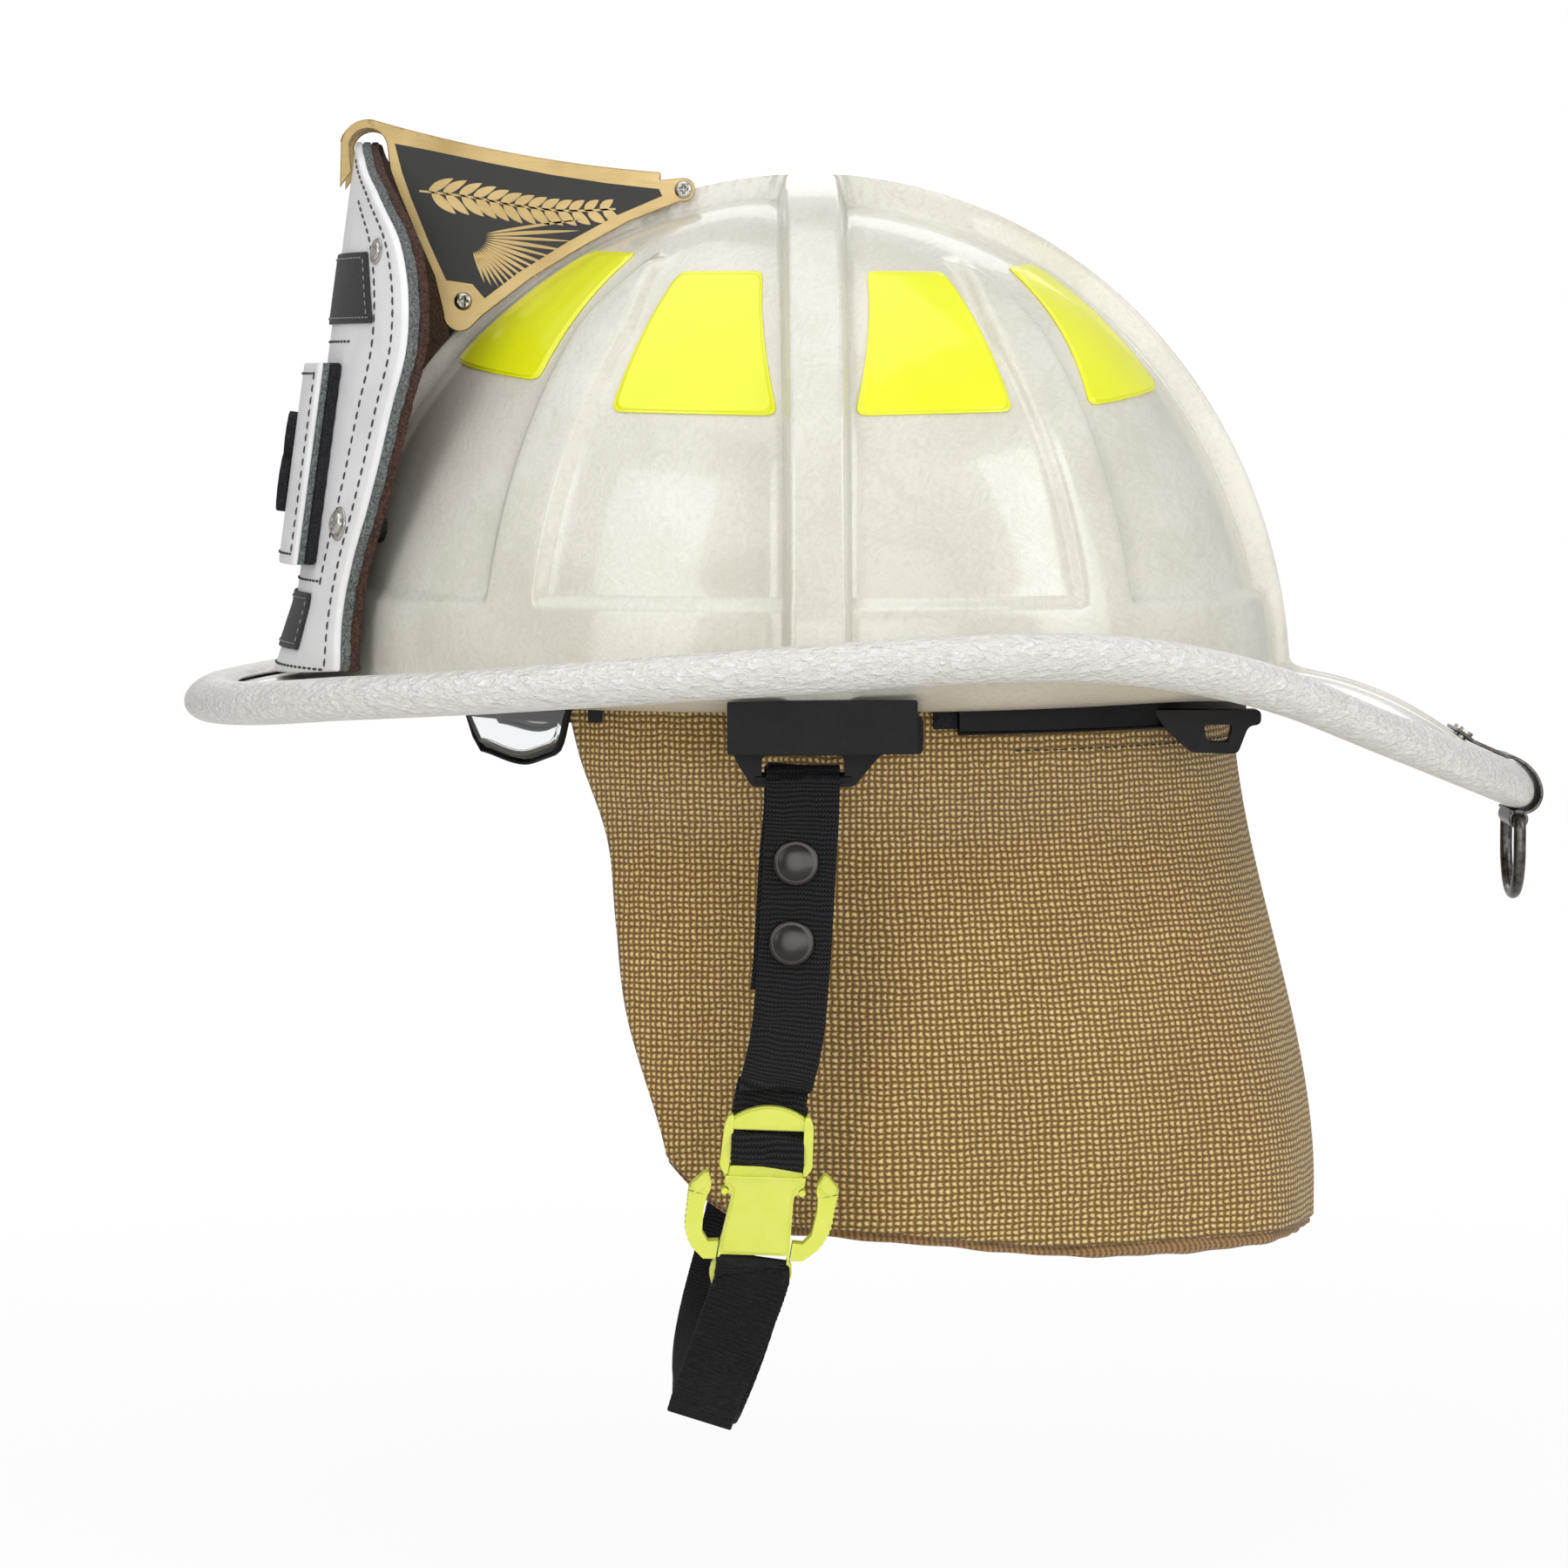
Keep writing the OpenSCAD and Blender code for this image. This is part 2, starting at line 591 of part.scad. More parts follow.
module foam_liner() {
    color("#d8d5c8") half_dome(cap_t + gap, cap_t + gap + foam_t, 34);
}

// Headband round the front and sides, with the brow pad inside it
band_gap = 5;
band_t = 1.8;
headband_z = -12;
function ring_pt(a, grow, z) = [(head_half_w + grow) * cos(a), (head_half_l + grow) * sin(a), z];
module head_ring(a, b, n, inner, thick, z, h) {
    tube([for (t = span(a, b, n)) [
        ring_pt(t, inner, z), ring_pt(t, inner + thick, z),
        ring_pt(t, inner + thick, z + h), ring_pt(t, inner, z + h)
    ]]);
}
band_end = 31;
module headband() {
    color(dark) head_ring(-180 - band_end, band_end, 36, band_gap, band_t, headband_z, headband_h);
}
module brow_pad() {
    color("#8b7b5e") head_ring(-150, -30, 14, 0.6, band_gap - 0.9, headband_z + 1, headband_h - 4);
}
// Straps over the head: each foot stands between the headband and a key, square to the band
strap_w = 20;
strap_t = 1.6;
crown_h = cap_top - 24.5;
function on_ellipse(a, b) = 1 / norm([cos(45) / a, sin(45) / b]);
foot_r = on_ellipse(head_half_w + band_gap + band_t, head_half_l + band_gap + band_t) + gap;
foot_turn = 45 - atan(pow(head_half_w / head_half_l, 2));
module crown_strap(turn, top) {
    far = on_ellipse(head_half_w, head_half_l) - 0.5;
    low = asin(34 / top);
    foot = [[foot_r, 6, 1], [foot_r, 17, 1], [foot_r - 4.5, 25, 0.6]];
    arch = [for (t = span(low, 180 - low, 16)) [far * cos(t), top * sin(t), 0]];
    path = concat(foot, arch, [for (p = reversed(foot)) [-p.x, p.y, p.z]]);
    out = [for (p = path) unit([p.x, max(0, p.y - 20) * 1.4])];
    twist = turn < 90 ? -foot_turn : foot_turn;
    sheet = function (off) [for (i = [0 : len(path) - 1]) let (
        p = path[i],
        r = p.x + out[i].x * off,
        w = turn + twist * p.z
    ) [for (q = [-strap_w / 2, 0, strap_w / 2])
        [r * cos(turn) - q * sin(w), r * sin(turn) + q * cos(w), p.y + out[i].y * off]]];
    slab(sheet(strap_t), sheet(0));
}
module crown_strap_lower() {
    color(webbing_black) crown_strap(45, crown_h);
}
module crown_strap_upper() {
    color(webbing_black) crown_strap(135, crown_h + 2.6);
}
module crown_pad() {
    r = 34;
    top = [for (t = span(0, r, 6)) [t, (crown_h - 0.4) * sqrt(1 - pow(t / 86, 2)) - 0.4]];
    color("#8b7b5e") rotate_extrude() polygon(concat(top, reversed([for (p = top) p - [0, 5]])));
}
module strap_keys() {
    near = foot_r + strap_t + gap;
    far = on_ellipse(cap_half_w - cap_t, cap_front - cap_t) - 2.4;
    color(dark) for (t = [45, 135, 225, 315]) {
        w = t + (t == 45 || t == 225 ? -foot_turn : foot_turn);
        translate([near * cos(t), near * sin(t), 9]) rotate([0, 0, w])
            translate([0, -7, 0]) cube([far - near, 14, 6]);
    }
}

// Ratchet at the nape: a curved housing with two lanes, and a tail in each
nape_y = 35;
nape_r = 70;
nape_z = -17;
tail_t = 1.8;
lane_h = 8;
house_t = 8;
house_half = 26;
module nape_arc(r, t, a, b, z, h) {
    translate([0, nape_y, z]) rotate([0, 0, a]) rotate_extrude(angle = b - a)
        translate([r - t / 2, 0]) square([t, h]);
}
lane_left = nape_z + 1;
lane_right = nape_z - 1 - lane_h;
module ratchet_housing() {
    color(dark) difference() {
        nape_arc(nape_r, house_t, 90 - house_half, 90 + house_half, nape_z - 12, 24);
        nape_arc(nape_r, tail_t + 1, 88 - house_half, 92 + house_half, lane_left - 0.4, lane_h + 0.8);
        nape_arc(nape_r, tail_t + 1, 88 - house_half, 92 + house_half, lane_right - 0.4, lane_h + 0.8);
        translate([0, nape_y + nape_r, nape_z]) rotate([-90, 0, 0]) cylinder(d = 8.1, h = 20);
    }
}
module nape_pad() {
    color("#8b7b5e") nape_arc(nape_r - house_t / 2 - 2.4, 4, 62, 118, nape_z - 13, 26);
}
// A tail runs level in its lane and rises to the headband at its front end
module nape_tail(lane) {
    sheet = function (off) [for (a = span(9, 84, 12)) let (
        z = lerp(headband_z + 3, lane, smooth((a - 16) / 38))
    ) [for (h = [0, lane_h]) [(nape_r + off) * cos(a), nape_y + (nape_r + off) * sin(a), z + h]]];
    slab(sheet(tail_t / 2), sheet(-tail_t / 2));
}
module nape_tail_left() {
    color(dark) nape_tail(lane_left);
}
module nape_tail_right() {
    color(dark) mirror([1, 0, 0]) nape_tail(lane_right);
}
knob_y = nape_y + nape_r + house_t / 2 + 0.6;
module ratchet_knob() {
    color(dark) translate([0, knob_y, nape_z]) rotate([-90, 0, 0]) {
        difference() {
            cylinder(d = knob_d, h = 7.4);
            for (i = [0 : 17]) rotate([0, 0, i * 20]) translate([knob_d / 2 + 0.6, 0, -1])
                cylinder(d = 3, h = 13);
        }
        translate([0, 0, -2.6]) cylinder(d = 8, h = 3);
    }
}

// Chin-strap hangers: a plate under the brim with a loop bar below it
bar_x = 110;
bar_y = -4;
bar_z = -17.5;
hanger_front = -23;
hanger_rear = 28.5;
hanger_foot = -10.6;
hanger_t = 3.4;
loop_half = web_w / 2 + 1.2;
screw_y = [-14, 16];
module hanger() {
    side_plate(bar_x - hanger_t / 2, hanger_t) difference() {
        polygon([[hanger_front, -0.4], [hanger_rear, -0.4], [hanger_rear, hanger_foot],
            [bar_y + 20, hanger_foot], [bar_y + loop_half + 2.6, bar_z - loop_bar_d / 2],
            [bar_y - loop_half - 2.6, bar_z - loop_bar_d / 2], [hanger_front, hanger_foot]]);
        polygon([[bar_y - loop_half, hanger_foot - 0.2], [bar_y + loop_half, hanger_foot - 0.2],
            [bar_y + loop_half, bar_z - loop_bar_d], [bar_y - loop_half, bar_z - loop_bar_d]]);
    }
    translate([bar_x, bar_y - loop_half - 2, bar_z]) rotate([-90, 0, 0])
        cylinder(d = loop_bar_d, h = 2 * loop_half + 4);
    difference() {
        translate([bar_x - 14, hanger_front, -4.6])
            cube([14 - hanger_t / 2 + 0.01, hanger_rear - hanger_front, 3.4]);
        for (y = screw_y) translate([bar_x - 6, y, -6]) cylinder(d = 3.1, h = 8);
    }
}
module hanger_left() {
    color(dark) hanger();
}
module hanger_right() {
    color(dark) mirror([1, 0, 0]) hanger();
}
module hanger_screws() {
    color(steel) both_sides() for (y = screw_y) translate([bar_x - 6, y, -6.2]) {
        cylinder(d = 6, h = 1.5);
        cylinder(d = 3, h = 8.4);
    }
}

// Curtain rail, binding and cloth, one inside the other, under the shell's rear edge
rail_out = dome_half_w - inner_depth - 1.4;
rail_rear = dome_rear - inner_depth - 1.4;
rail_t = 2;
binding_t = 1.2;
module rear_ring(in, t, a, b, n, low, high) {
    tube([for (u = span(a, b, n)) let (c = [cos(u), sin(u)]) [
        [(rail_out - in) * c.x, (rail_rear - in) * c.y, low],
        [(rail_out - in - t) * c.x, (rail_rear - in - t) * c.y, low],
        [(rail_out - in - t) * c.x, (rail_rear - in - t) * c.y, high],
        [(rail_out - in) * c.x, (rail_rear - in) * c.y, high]
    ]]);
}
module curtain_rail() {
    color(dark) rear_ring(0, rail_t, 18, 162, 28, -6.6, 6.5);
}
module curtain_binding() {
    color(dark) rear_ring(rail_t + gap, binding_t, 15, 165, 28, -5, 6);
}
curtain_in = rail_t + binding_t + 2 * gap + 0.5;
curtain_top = 5;
front_reach = 125;
// The cloth in front of the rail lies further in, clear of the visor's arms
tuck = 6;
hang_waist = 20.5;
// How far the cloth reaches to the side and to the rear at a height
function hang_side(z) = rail_out - curtain_in - hang_waist * smooth((-10 - z) / 34)
    - 2 * smooth((-60 - z) / 90);
function hang_rear(z) = rail_rear - curtain_in + 26 * smooth((curtain_top - z) / 150);
// Bearing of the front edge, from the top to the bottom corner
hem_front = [-33.5, -31.6, -28.1, -26.5, -24.8, -19.5];
function hem_bearing(v) = curve(hem_front, v * 5);
function hem_z(a) = -curtain_drop - 14 * pow(max(0, sin(a)), 1.5) + 8 * pow(max(0, -a - 4) / 10, 2);
fold_depth = 1.6;
function fold_wave(a, v) = fold_depth * v * (sin(a * 7 + 20) + 0.5 * sin(a * 13));
function hang_pt(u, v, in) = let (
    e = hem_bearing(v),
    a = lerp(e, 180 - e, u),
    z = lerp(curtain_top, hem_z(min(a, 180 - a)), v),
    w = fold_wave(a, v) - in,
    y = ((sin(a) < 0 ? front_reach : hang_rear(z)) + w) * sin(a)
) [(hang_side(z) - tuck * smooth((20 - y) / 40) + w) * cos(a), y, z];
module hung_cloth(in, t, n) {
    sheet = function (d) [for (v = [0, 0.12, 0.26, 0.45, 0.65, 0.83, 1])
        [for (u = span(0, 1, n)) hang_pt(u, v, d)]];
    slab(sheet(in), sheet(in + t));
}
module curtain_outer() {
    color(tan) hung_cloth(0, cloth_t, 42);
}
module curtain_lining() {
    color("#b8935a") hung_cloth(cloth_t + gap, lining_t, 42);
}
module rear_clips() {
    color(dark) both_sides() difference() {
        side_plate(58, 9) difference() {
            polygon([[94, -1.5], [128, -1.5], [127.5, -5.2], [121, -6], [118, -13.8],
                [105, -13.4], [98, -7]]);
            polygon([[108.5, -5], [117.6, -5], [116, -10.6], [109.5, -10.4]]);
        }
        translate([0, 0, -20]) linear_extrude(40) polygon(concat([[0, 0]],
            [for (t = span(44, 66, 12)) [(rail_out + gap) * cos(t), (rail_rear + gap) * sin(t)]]));
    }
}

// Rear bracket over the trim, with the ring's barrel at its end
barrel_y = 204.8;
barrel_z = -36.6;
barrel_r = ring_wire_d / 2 + 0.05;
strip_t = 1;
bead_gap = 1;
function nose_pt(t) = let (
    p = edge_at(90) + edge_out(90) * (trim_w / 2 + bead_gap) * cos(t)
        + edge_up(90) * (trim_t / 2 + bead_gap) * sin(t)
) [p.y, p.z];
// The strip lies on the brim, then wraps the bead down to the barrel
strip_rear = [for (k = [0.74, 0.82]) let (p = brim_top(90, k)) [p.y + 0.5, p.z + 0.9]];
strip_path = concat(strip_rear, [for (t = [136 : -22 : -62]) nose_pt(t)]);
function side_of(v, i, d) = let (
    e = unit(at(v, i + 1) - at(v, i - 1))
) v[i] + d * [-e.y, e.x];
module ring_bracket() {
    n = len(strip_path) - 1;
    color(steel) difference() {
        union() {
            side_plate(-bracket_w / 2, bracket_w) polygon(concat(
                [for (i = [0 : n]) side_of(strip_path, i, strip_t / 2)],
                [for (i = [n : -1 : 0]) side_of(strip_path, i, -strip_t / 2)]));
            translate([-bracket_w / 2, barrel_y, barrel_z]) rotate([0, 90, 0])
                cylinder(r = barrel_r + strip_t, h = bracket_w);
        }
        translate([-bracket_w, barrel_y, barrel_z]) rotate([0, 90, 0])
            cylinder(r = barrel_r, h = 2 * bracket_w);
    }
}
module bracket_rivets() {
    p = (strip_rear[0] + strip_rear[1]) / 2;
    d = strip_rear[1] - strip_rear[0];
    color(steel) for (x = [-6, 6]) translate([x, p.x, p.y]) rotate([atan2(d.y, d.x), 0, 0]) {
        translate([0, 0, strip_t / 2 + 0.1]) cylinder(d = 4.4, h = 1);
        translate([0, 0, -4]) cylinder(d = 2.2, h = 4.7);
    }
}
ring_half = bracket_w / 2 + 2.6;
module hang_ring() {
    leg = ring_drop - ring_half - ring_wire_d / 2;
    color(steel) translate([0, barrel_y, barrel_z]) {
        translate([-ring_half, 0, 0]) rotate([0, 90, 0]) cylinder(d = ring_wire_d, h = 2 * ring_half);
        for (x = [-ring_half, ring_half]) translate([x, 0, 0]) {
            sphere(d = ring_wire_d);
            translate([0, 0, -leg]) cylinder(d = ring_wire_d, h = leg);
        }
        translate([0, 0, -leg]) rotate([90, 0, 0]) rotate([0, 0, 180]) rotate_extrude(angle = 180)
            translate([ring_half, 0]) circle(d = ring_wire_d);
    }
}

// Left webbing: it loops over the hanger's bar and runs down, doubled, to the buckle
buckle_x = 104;
buckle_y = -12.5;
buckle_z = -128;
buckle_lean = 9;
double_t = 2 * web_t + 0.4;
web_line = [[110, -4, -20.6], [108.8, -4.9, -40], [107.4, -6.1, -62], [105.2, -8, -86],
    [101, -9.6, -101], [98.6, -10.4, -107], [98.6, -10.9, -115], [100.3, -11.2, -119.5]];
lock_bar = 8.6;
bar_d = 2.6;
function on_strap(q) = [buckle_x, buckle_y + q * sin(buckle_lean), buckle_z + q * cos(buckle_lean)];
module web_loop(p, d, w) {
    translate(p - [0, w / 2, 0]) rotate([-90, 0, 0]) difference() {
        cylinder(d = d + 2 * web_t + 0.4, h = w);
        translate([0, 0, -1]) cylinder(d = d + 0.4, h = w + 2);
    }
}
module webbing_left() {
    sheet = function (side) [for (p = web_line) [for (q = [-web_w / 2, web_w / 2])
        p + [side * double_t / 2, q, 0]]];
    color(webbing_black) {
        web_loop([bar_x, bar_y, bar_z], loop_bar_d, web_w);
        slab(sheet(1), sheet(-1));
        translate(on_strap(lock_bar)) rotate([-buckle_lean, 0, 0]) web_loop([0, 0, 0], bar_d, web_w);
    }
}
module snap_head() {
    rotate([0, 90, 0]) {
        cylinder(d = snap_d, h = 0.9);
        translate([0, 0, 0.9]) cylinder(d1 = snap_d, d2 = snap_d - 3, h = 0.8);
    }
}
module snaps() {
    color("#3a3736") for (p = [web_line[1], web_line[2]]) translate(p + [double_t / 2 + 0.12, 0.6, 0])
        rotate([0, 3.6, 0]) snap_head();
}

// Buckle, drawn flat in its own plane and leaned with the strap
module on_buckle() {
    translate([buckle_x, buckle_y, buckle_z]) rotate([-buckle_lean, 0, 0]) children();
}
lock_t = 5;
module buckle_lock() {
    outer = concat([[13.4, 0.6], [13.4, 3], [11.6, 9], [11.6, 16]], arc([0, 4.2], 16.6, 45, 135, 8),
        [[-11.6, 16], [-11.6, 9], [-13.4, 3], [-13.4, 0.6]]);
    color(lime) on_buckle() {
        side_plate(-lock_t / 2, lock_t) difference() {
            polygon(outer);
            polygon([[-10.3, 4], [10.3, 4], [10.3, 14.2], [-10.3, 14.2]]);
        }
        translate([0, -10.6, lock_bar]) rotate([-90, 0, 0]) cylinder(d = bar_d, h = 21.2);
        side_plate(-1.5, 3) polygon([[-6.4, 1], [-6.4, -11], [-4, -13.4], [4, -13.4], [6.4, -11],
            [6.4, 1]]);
    }
}
socket_t = 8;
socket_bar = -26.8;
module buckle_socket() {
    half = [[11.2, 0], [11.2, -3.4], [8.7, -4], [8.7, -5], [10, -16.6], [10.6, -21], [11, -28.8],
        [9.4, -28.8], [9.4, -22.4]];
    color(lime) on_buckle() difference() {
        union() {
            side_plate(-socket_t / 2, socket_t) polygon(concat(
                [for (i = [len(half) - 1 : -1 : 0]) [-half[i].x, half[i].y]], half));
            for (p = [-10.1, 10.1]) translate([-1.6, p, -4.2]) rotate([0, 90, 0])
                cylinder(d = 2.2, h = 3.2);
            translate([0, -10, socket_bar]) rotate([-90, 0, 0]) cylinder(d = bar_d, h = 20);
        }
        side_plate(-1.9, 3.8) polygon([[-6.8, -14], [6.8, -14], [6.8, 1], [-6.8, 1]]);
    }
}
arm_root = [-11.6, -18.6];
arm_t = 6.6;
module buckle_arm() {
    outline = [[1.3, 0.6], [-1.4, 1.6], [-3.4, 4.4], [-3.6, 11], [-3, 15], [-1.6, 16.6],
        [-4.4, 18.2], [-6.4, 17.2], [-8.2, 12.6], [-8, 5.6], [-5.6, 0.2], [-2, -2.6], [0.2, -1.6]];
    on_buckle() side_plate(-arm_t / 2, arm_t) translate(arm_root) polygon(outline);
}
module buckle_arm_front() {
    color(lime) buckle_arm();
}
module buckle_arm_rear() {
    color(lime) on_buckle() mirror([0, 1, 0]) rotate([buckle_lean, 0, 0])
        translate(-[buckle_x, buckle_y, buckle_z]) buckle_arm();
}

// Lower webbing: from the socket's bar, under the chin and up to the right-hand hanger
low_w = 18;
chin_half = [[0, -34, -chin_drop], [26, -33.8, -chin_drop], [54, -32.6, -207], [79, -30, -198],
    [95, -26.6, -186], [102, -23, -174], [104, -19.6, -164], [104, -17.4, -157.3]];
// The right-hand run is straight where the slider travels
run_low = [104.2, -18.4, -146];
run_high = [108.4, -4.9, -50];
chin_right = concat(span(run_low, run_high, 4), [[109.6, -4.3, -32], [110, -4, -20.8]]);
function flip_x(v) = [for (p = v) [-p.x, p.y, p.z]];
chin_line = concat(reversed(chin_half), flip_x([for (i = [1 : 6]) chin_half[i]]),
    flip_x(chin_right));
run_lean = 8;
function chin_lean(z) = run_lean * (1 - smooth((z + 50) / 25)) + 11 * smooth((-140 - z) / 60);
function chin_w(p) = p.x > 0 ? lerp(web_w, low_w, smooth((p.z + 172) / 12)) : web_w;
// Ribbon along the chin strap's line, between two positions counted in its points
chin_end = len(chin_line) - 1;
function ribbon(from, to, n, t, lift) = [for (k = span(from, to, n)) let (
    p = curve(chin_line, k),
    d = unit(curve(chin_line, min(chin_end, k + 0.05)) - curve(chin_line, max(0, k - 0.05))),
    l = [0, cos(chin_lean(p.z)), -sin(chin_lean(p.z))] * chin_w(p) / 2,
    u = unit(cross(l, d)),
    c = p + u * lift
) [c - l - u * t / 2, c + l - u * t / 2, c + l + u * t / 2, c - l + u * t / 2]];
module chin_webbing() {
    color(webbing_black) {
        tube(ribbon(0, chin_end, 60, web_t, 0));
        web_loop([-bar_x, bar_y, bar_z], loop_bar_d, web_w);
        translate(on_strap(socket_bar)) rotate([-buckle_lean, 0, 0])
            web_loop([0, 0, 0], bar_d, low_w);
    }
}
module strap_flap() {
    color(webbing_black) tube(ribbon(1, 4, 12, web_t, -web_t - 0.5));
}
// Slider on the right-hand webbing, a frame that the webbing passes through
module strap_slider() {
    side = atan((run_high.x - run_low.x) / norm(run_high - run_low));
    color(dark) translate(flip_x([(run_low + run_high) / 2])[0]) rotate([-run_lean, 0, 0])
        rotate([0, -side, 0]) difference() {
            cube([web_t + 4.6, web_w + 6, 11], center = true);
            cube([web_t + 1.2, web_w + 1.2, 20], center = true);
        }
}

outer_shell();
edge_trim();
reflector_front();
reflector_side_front();
reflector_side_rear();
reflector_rear();
front_holder();
holder_bracket();
holder_screws();
leather_face();
leather_middle();
leather_backing();
name_panel_upper();
name_panel_lower();
front_rivets();
front_screws();
barrel_nuts();
number_panel();
number_tape();
numeral();
visor_lens();
visor_arms();
visor_pivots();
visor_tabs();
impact_cap();
foam_liner();
headband();
brow_pad();
crown_strap_lower();
crown_strap_upper();
crown_pad();
strap_keys();
ratchet_housing();
nape_pad();
ratchet_knob();
nape_tail_left();
nape_tail_right();
hanger_left();
hanger_right();
hanger_screws();
curtain_rail();
rear_clips();
curtain_binding();
curtain_outer();
curtain_lining();
ring_bracket();
bracket_rivets();
hang_ring();
webbing_left();
snaps();
buckle_lock();
buckle_socket();
buckle_arm_front();
buckle_arm_rear();
chin_webbing();
strap_flap();
strap_slider();
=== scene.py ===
# Traditional fire helmet: ribbed composite shell, brass-held leather front, visor, chin strap,
# neck curtain and suspension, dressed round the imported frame. Front is -Y, up is +Z, metres.
import math

import bmesh
import bpy
from mathutils import Matrix, Vector


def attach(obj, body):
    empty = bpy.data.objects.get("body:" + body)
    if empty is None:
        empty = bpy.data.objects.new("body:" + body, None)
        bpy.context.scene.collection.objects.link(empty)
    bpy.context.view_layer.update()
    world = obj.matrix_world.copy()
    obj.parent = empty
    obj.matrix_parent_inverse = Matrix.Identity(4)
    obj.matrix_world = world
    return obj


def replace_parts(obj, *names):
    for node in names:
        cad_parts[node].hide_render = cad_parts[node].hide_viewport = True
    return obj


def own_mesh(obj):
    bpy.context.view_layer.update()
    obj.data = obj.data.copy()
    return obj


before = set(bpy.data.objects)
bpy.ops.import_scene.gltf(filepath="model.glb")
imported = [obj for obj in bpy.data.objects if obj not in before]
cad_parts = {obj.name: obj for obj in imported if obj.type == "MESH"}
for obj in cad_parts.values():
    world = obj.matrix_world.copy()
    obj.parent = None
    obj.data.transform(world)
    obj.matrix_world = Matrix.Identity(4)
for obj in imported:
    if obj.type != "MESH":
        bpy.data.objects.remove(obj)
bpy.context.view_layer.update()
MM = 0.001

# Camera: a long lens at the height of the brim, square to the helmet's left side.
# It sees 455.7 mm of the helmet's centre plane across the photograph.
aim = Vector((0, -7.6, -27)) * MM
distance = 1.6
seen_width = 0.4557
turn, lift = math.radians(89.2), math.radians(4.3)
back = Vector((math.sin(turn) * math.cos(lift), -math.cos(turn) * math.cos(lift), math.sin(lift)))
camera = bpy.data.objects.new("camera", bpy.data.cameras.new("camera"))
camera.data.sensor_width = 36
camera.data.lens = 36 * distance / seen_width
camera.location = aim + back * distance
camera.rotation_mode = "QUATERNION"
camera.rotation_quaternion = (-back).to_track_quat("-Z", "Y")
camera.data.clip_start, camera.data.clip_end = 0.05, 60
bpy.context.scene.collection.objects.link(camera)
bpy.context.scene.camera = camera
bpy.context.scene.view_settings.view_transform = "Standard"


# Colours are written as sRGB hex values, and one function turns them to linear. One function
# sets or links a node's inputs and one adds a node. A finish starts from one principled shader.
def linear(hex_colour):
    parts = [int(hex_colour[i : i + 2], 16) / 255 for i in (1, 3, 5)]
    return tuple(p / 12.92 if p < 0.04045 else ((p + 0.055) / 1.055) ** 2.4 for p in parts) + (1,)


def feed(node, inputs):
    for key, value in dict(inputs).items():
        if isinstance(value, bpy.types.Node):
            value = value.outputs[0]
        if isinstance(value, bpy.types.NodeSocket):
            node.id_data.links.new(value, node.inputs[key])
        else:
            node.inputs[key].default_value = value


def add(tree, kind, inputs=(), **settings):
    new = tree.nodes.new("ShaderNode" + kind)
    for key, value in settings.items():
        setattr(new, key, value)
    feed(new, inputs)
    return new


def finish_of(name, colour, roughness, **sockets):
    material = bpy.data.materials.new(name)
    material.use_nodes = True
    tree = material.node_tree
    shader = tree.nodes["Principled BSDF"]
    feed(shader, {"Base Color": linear(colour), "Roughness": roughness})
    feed(shader, {key.replace("_", " "): value for key, value in sockets.items()})
    where = add(tree, "TexCoord").outputs["Object"]
    return material, tree, shader, where


# Studio: a pale sweep under and behind the helmet, soft boxes above and beside it. The sweep
# and the world are white where the camera, a reflection or a clear piece looks at them.
def calc(operation, *values, kind="Math"):
    return add(values[0].id_data, kind, dict(enumerate(values)), operation=operation)


def ranged(value, low=0.0, high=1.0, to=(0.0, 1.0)):
    return add(value.id_data, "MapRange", {
        "Value": value, "From Min": low, "From Max": high, "To Min": to[0], "To Max": to[1]})


def seen_directly(tree):
    path = add(tree, "LightPath")
    glossy_share = calc("MULTIPLY", path.outputs["Is Glossy Ray"], 0.3)
    seen = calc("MAXIMUM", path.outputs["Is Camera Ray"], glossy_share)
    return calc("MAXIMUM", seen, path.outputs["Is Transmission Ray"])


bm = bmesh.new()
bmesh.ops.create_grid(bm, x_segments=1, y_segments=1, size=6, matrix=Matrix.Translation((0, 0, -0.245)))
floor_mesh = bpy.data.meshes.new("floor")
bm.to_mesh(floor_mesh)
bm.free()
floor = bpy.data.objects.new("floor", floor_mesh)
bpy.context.scene.collection.objects.link(floor)
floor_paint = bpy.data.materials.new("matt_white_sweep")
floor_paint.use_nodes = True
tree = floor_paint.node_tree
tree.nodes.remove(tree.nodes["Principled BSDF"])
matt = add(tree, "BsdfDiffuse", {"Color": linear("#f4f3f1")})
white = add(tree, "Emission", {"Color": (1, 1, 1, 1), "Strength": 1.0})
place = add(tree, "SeparateXYZ", {"Vector": add(tree, "TexCoord").outputs["Object"]})
far_out = calc("MULTIPLY", place.outputs["X"], place.outputs["X"])
far_out = calc("MULTIPLY_ADD", place.outputs["Y"], place.outputs["Y"], far_out)
faded = ranged(far_out, 0.01, 0.5, to=(0.93, 1.0))
share = calc("MULTIPLY", seen_directly(tree), faded)
blend = add(tree, "MixShader", {0: share, 1: matt, 2: white})
feed(tree.nodes["Material Output"], {"Surface": blend})
floor_mesh.materials.append(floor_paint)

world = bpy.data.worlds.new("studio")
bpy.context.scene.world = world
world.use_nodes = True
tree = world.node_tree
feed(tree.nodes["Background"], {"Color": (1, 1, 1, 1),
                                "Strength": ranged(seen_directly(tree), to=(0.28, 1.0))})


def soft_box(name, place, size, power):
    light = bpy.data.lights.new(name, "AREA")
    light.shape = "RECTANGLE"
    light.size, light.size_y = size
    light.energy = power
    lamp = bpy.data.objects.new(name, light)
    lamp.location = place
    lamp.rotation_mode = "QUATERNION"
    lamp.rotation_quaternion = (Vector((0, 0, -0.03)) - Vector(place)).to_track_quat("-Z", "Y")
    bpy.context.scene.collection.objects.link(lamp)


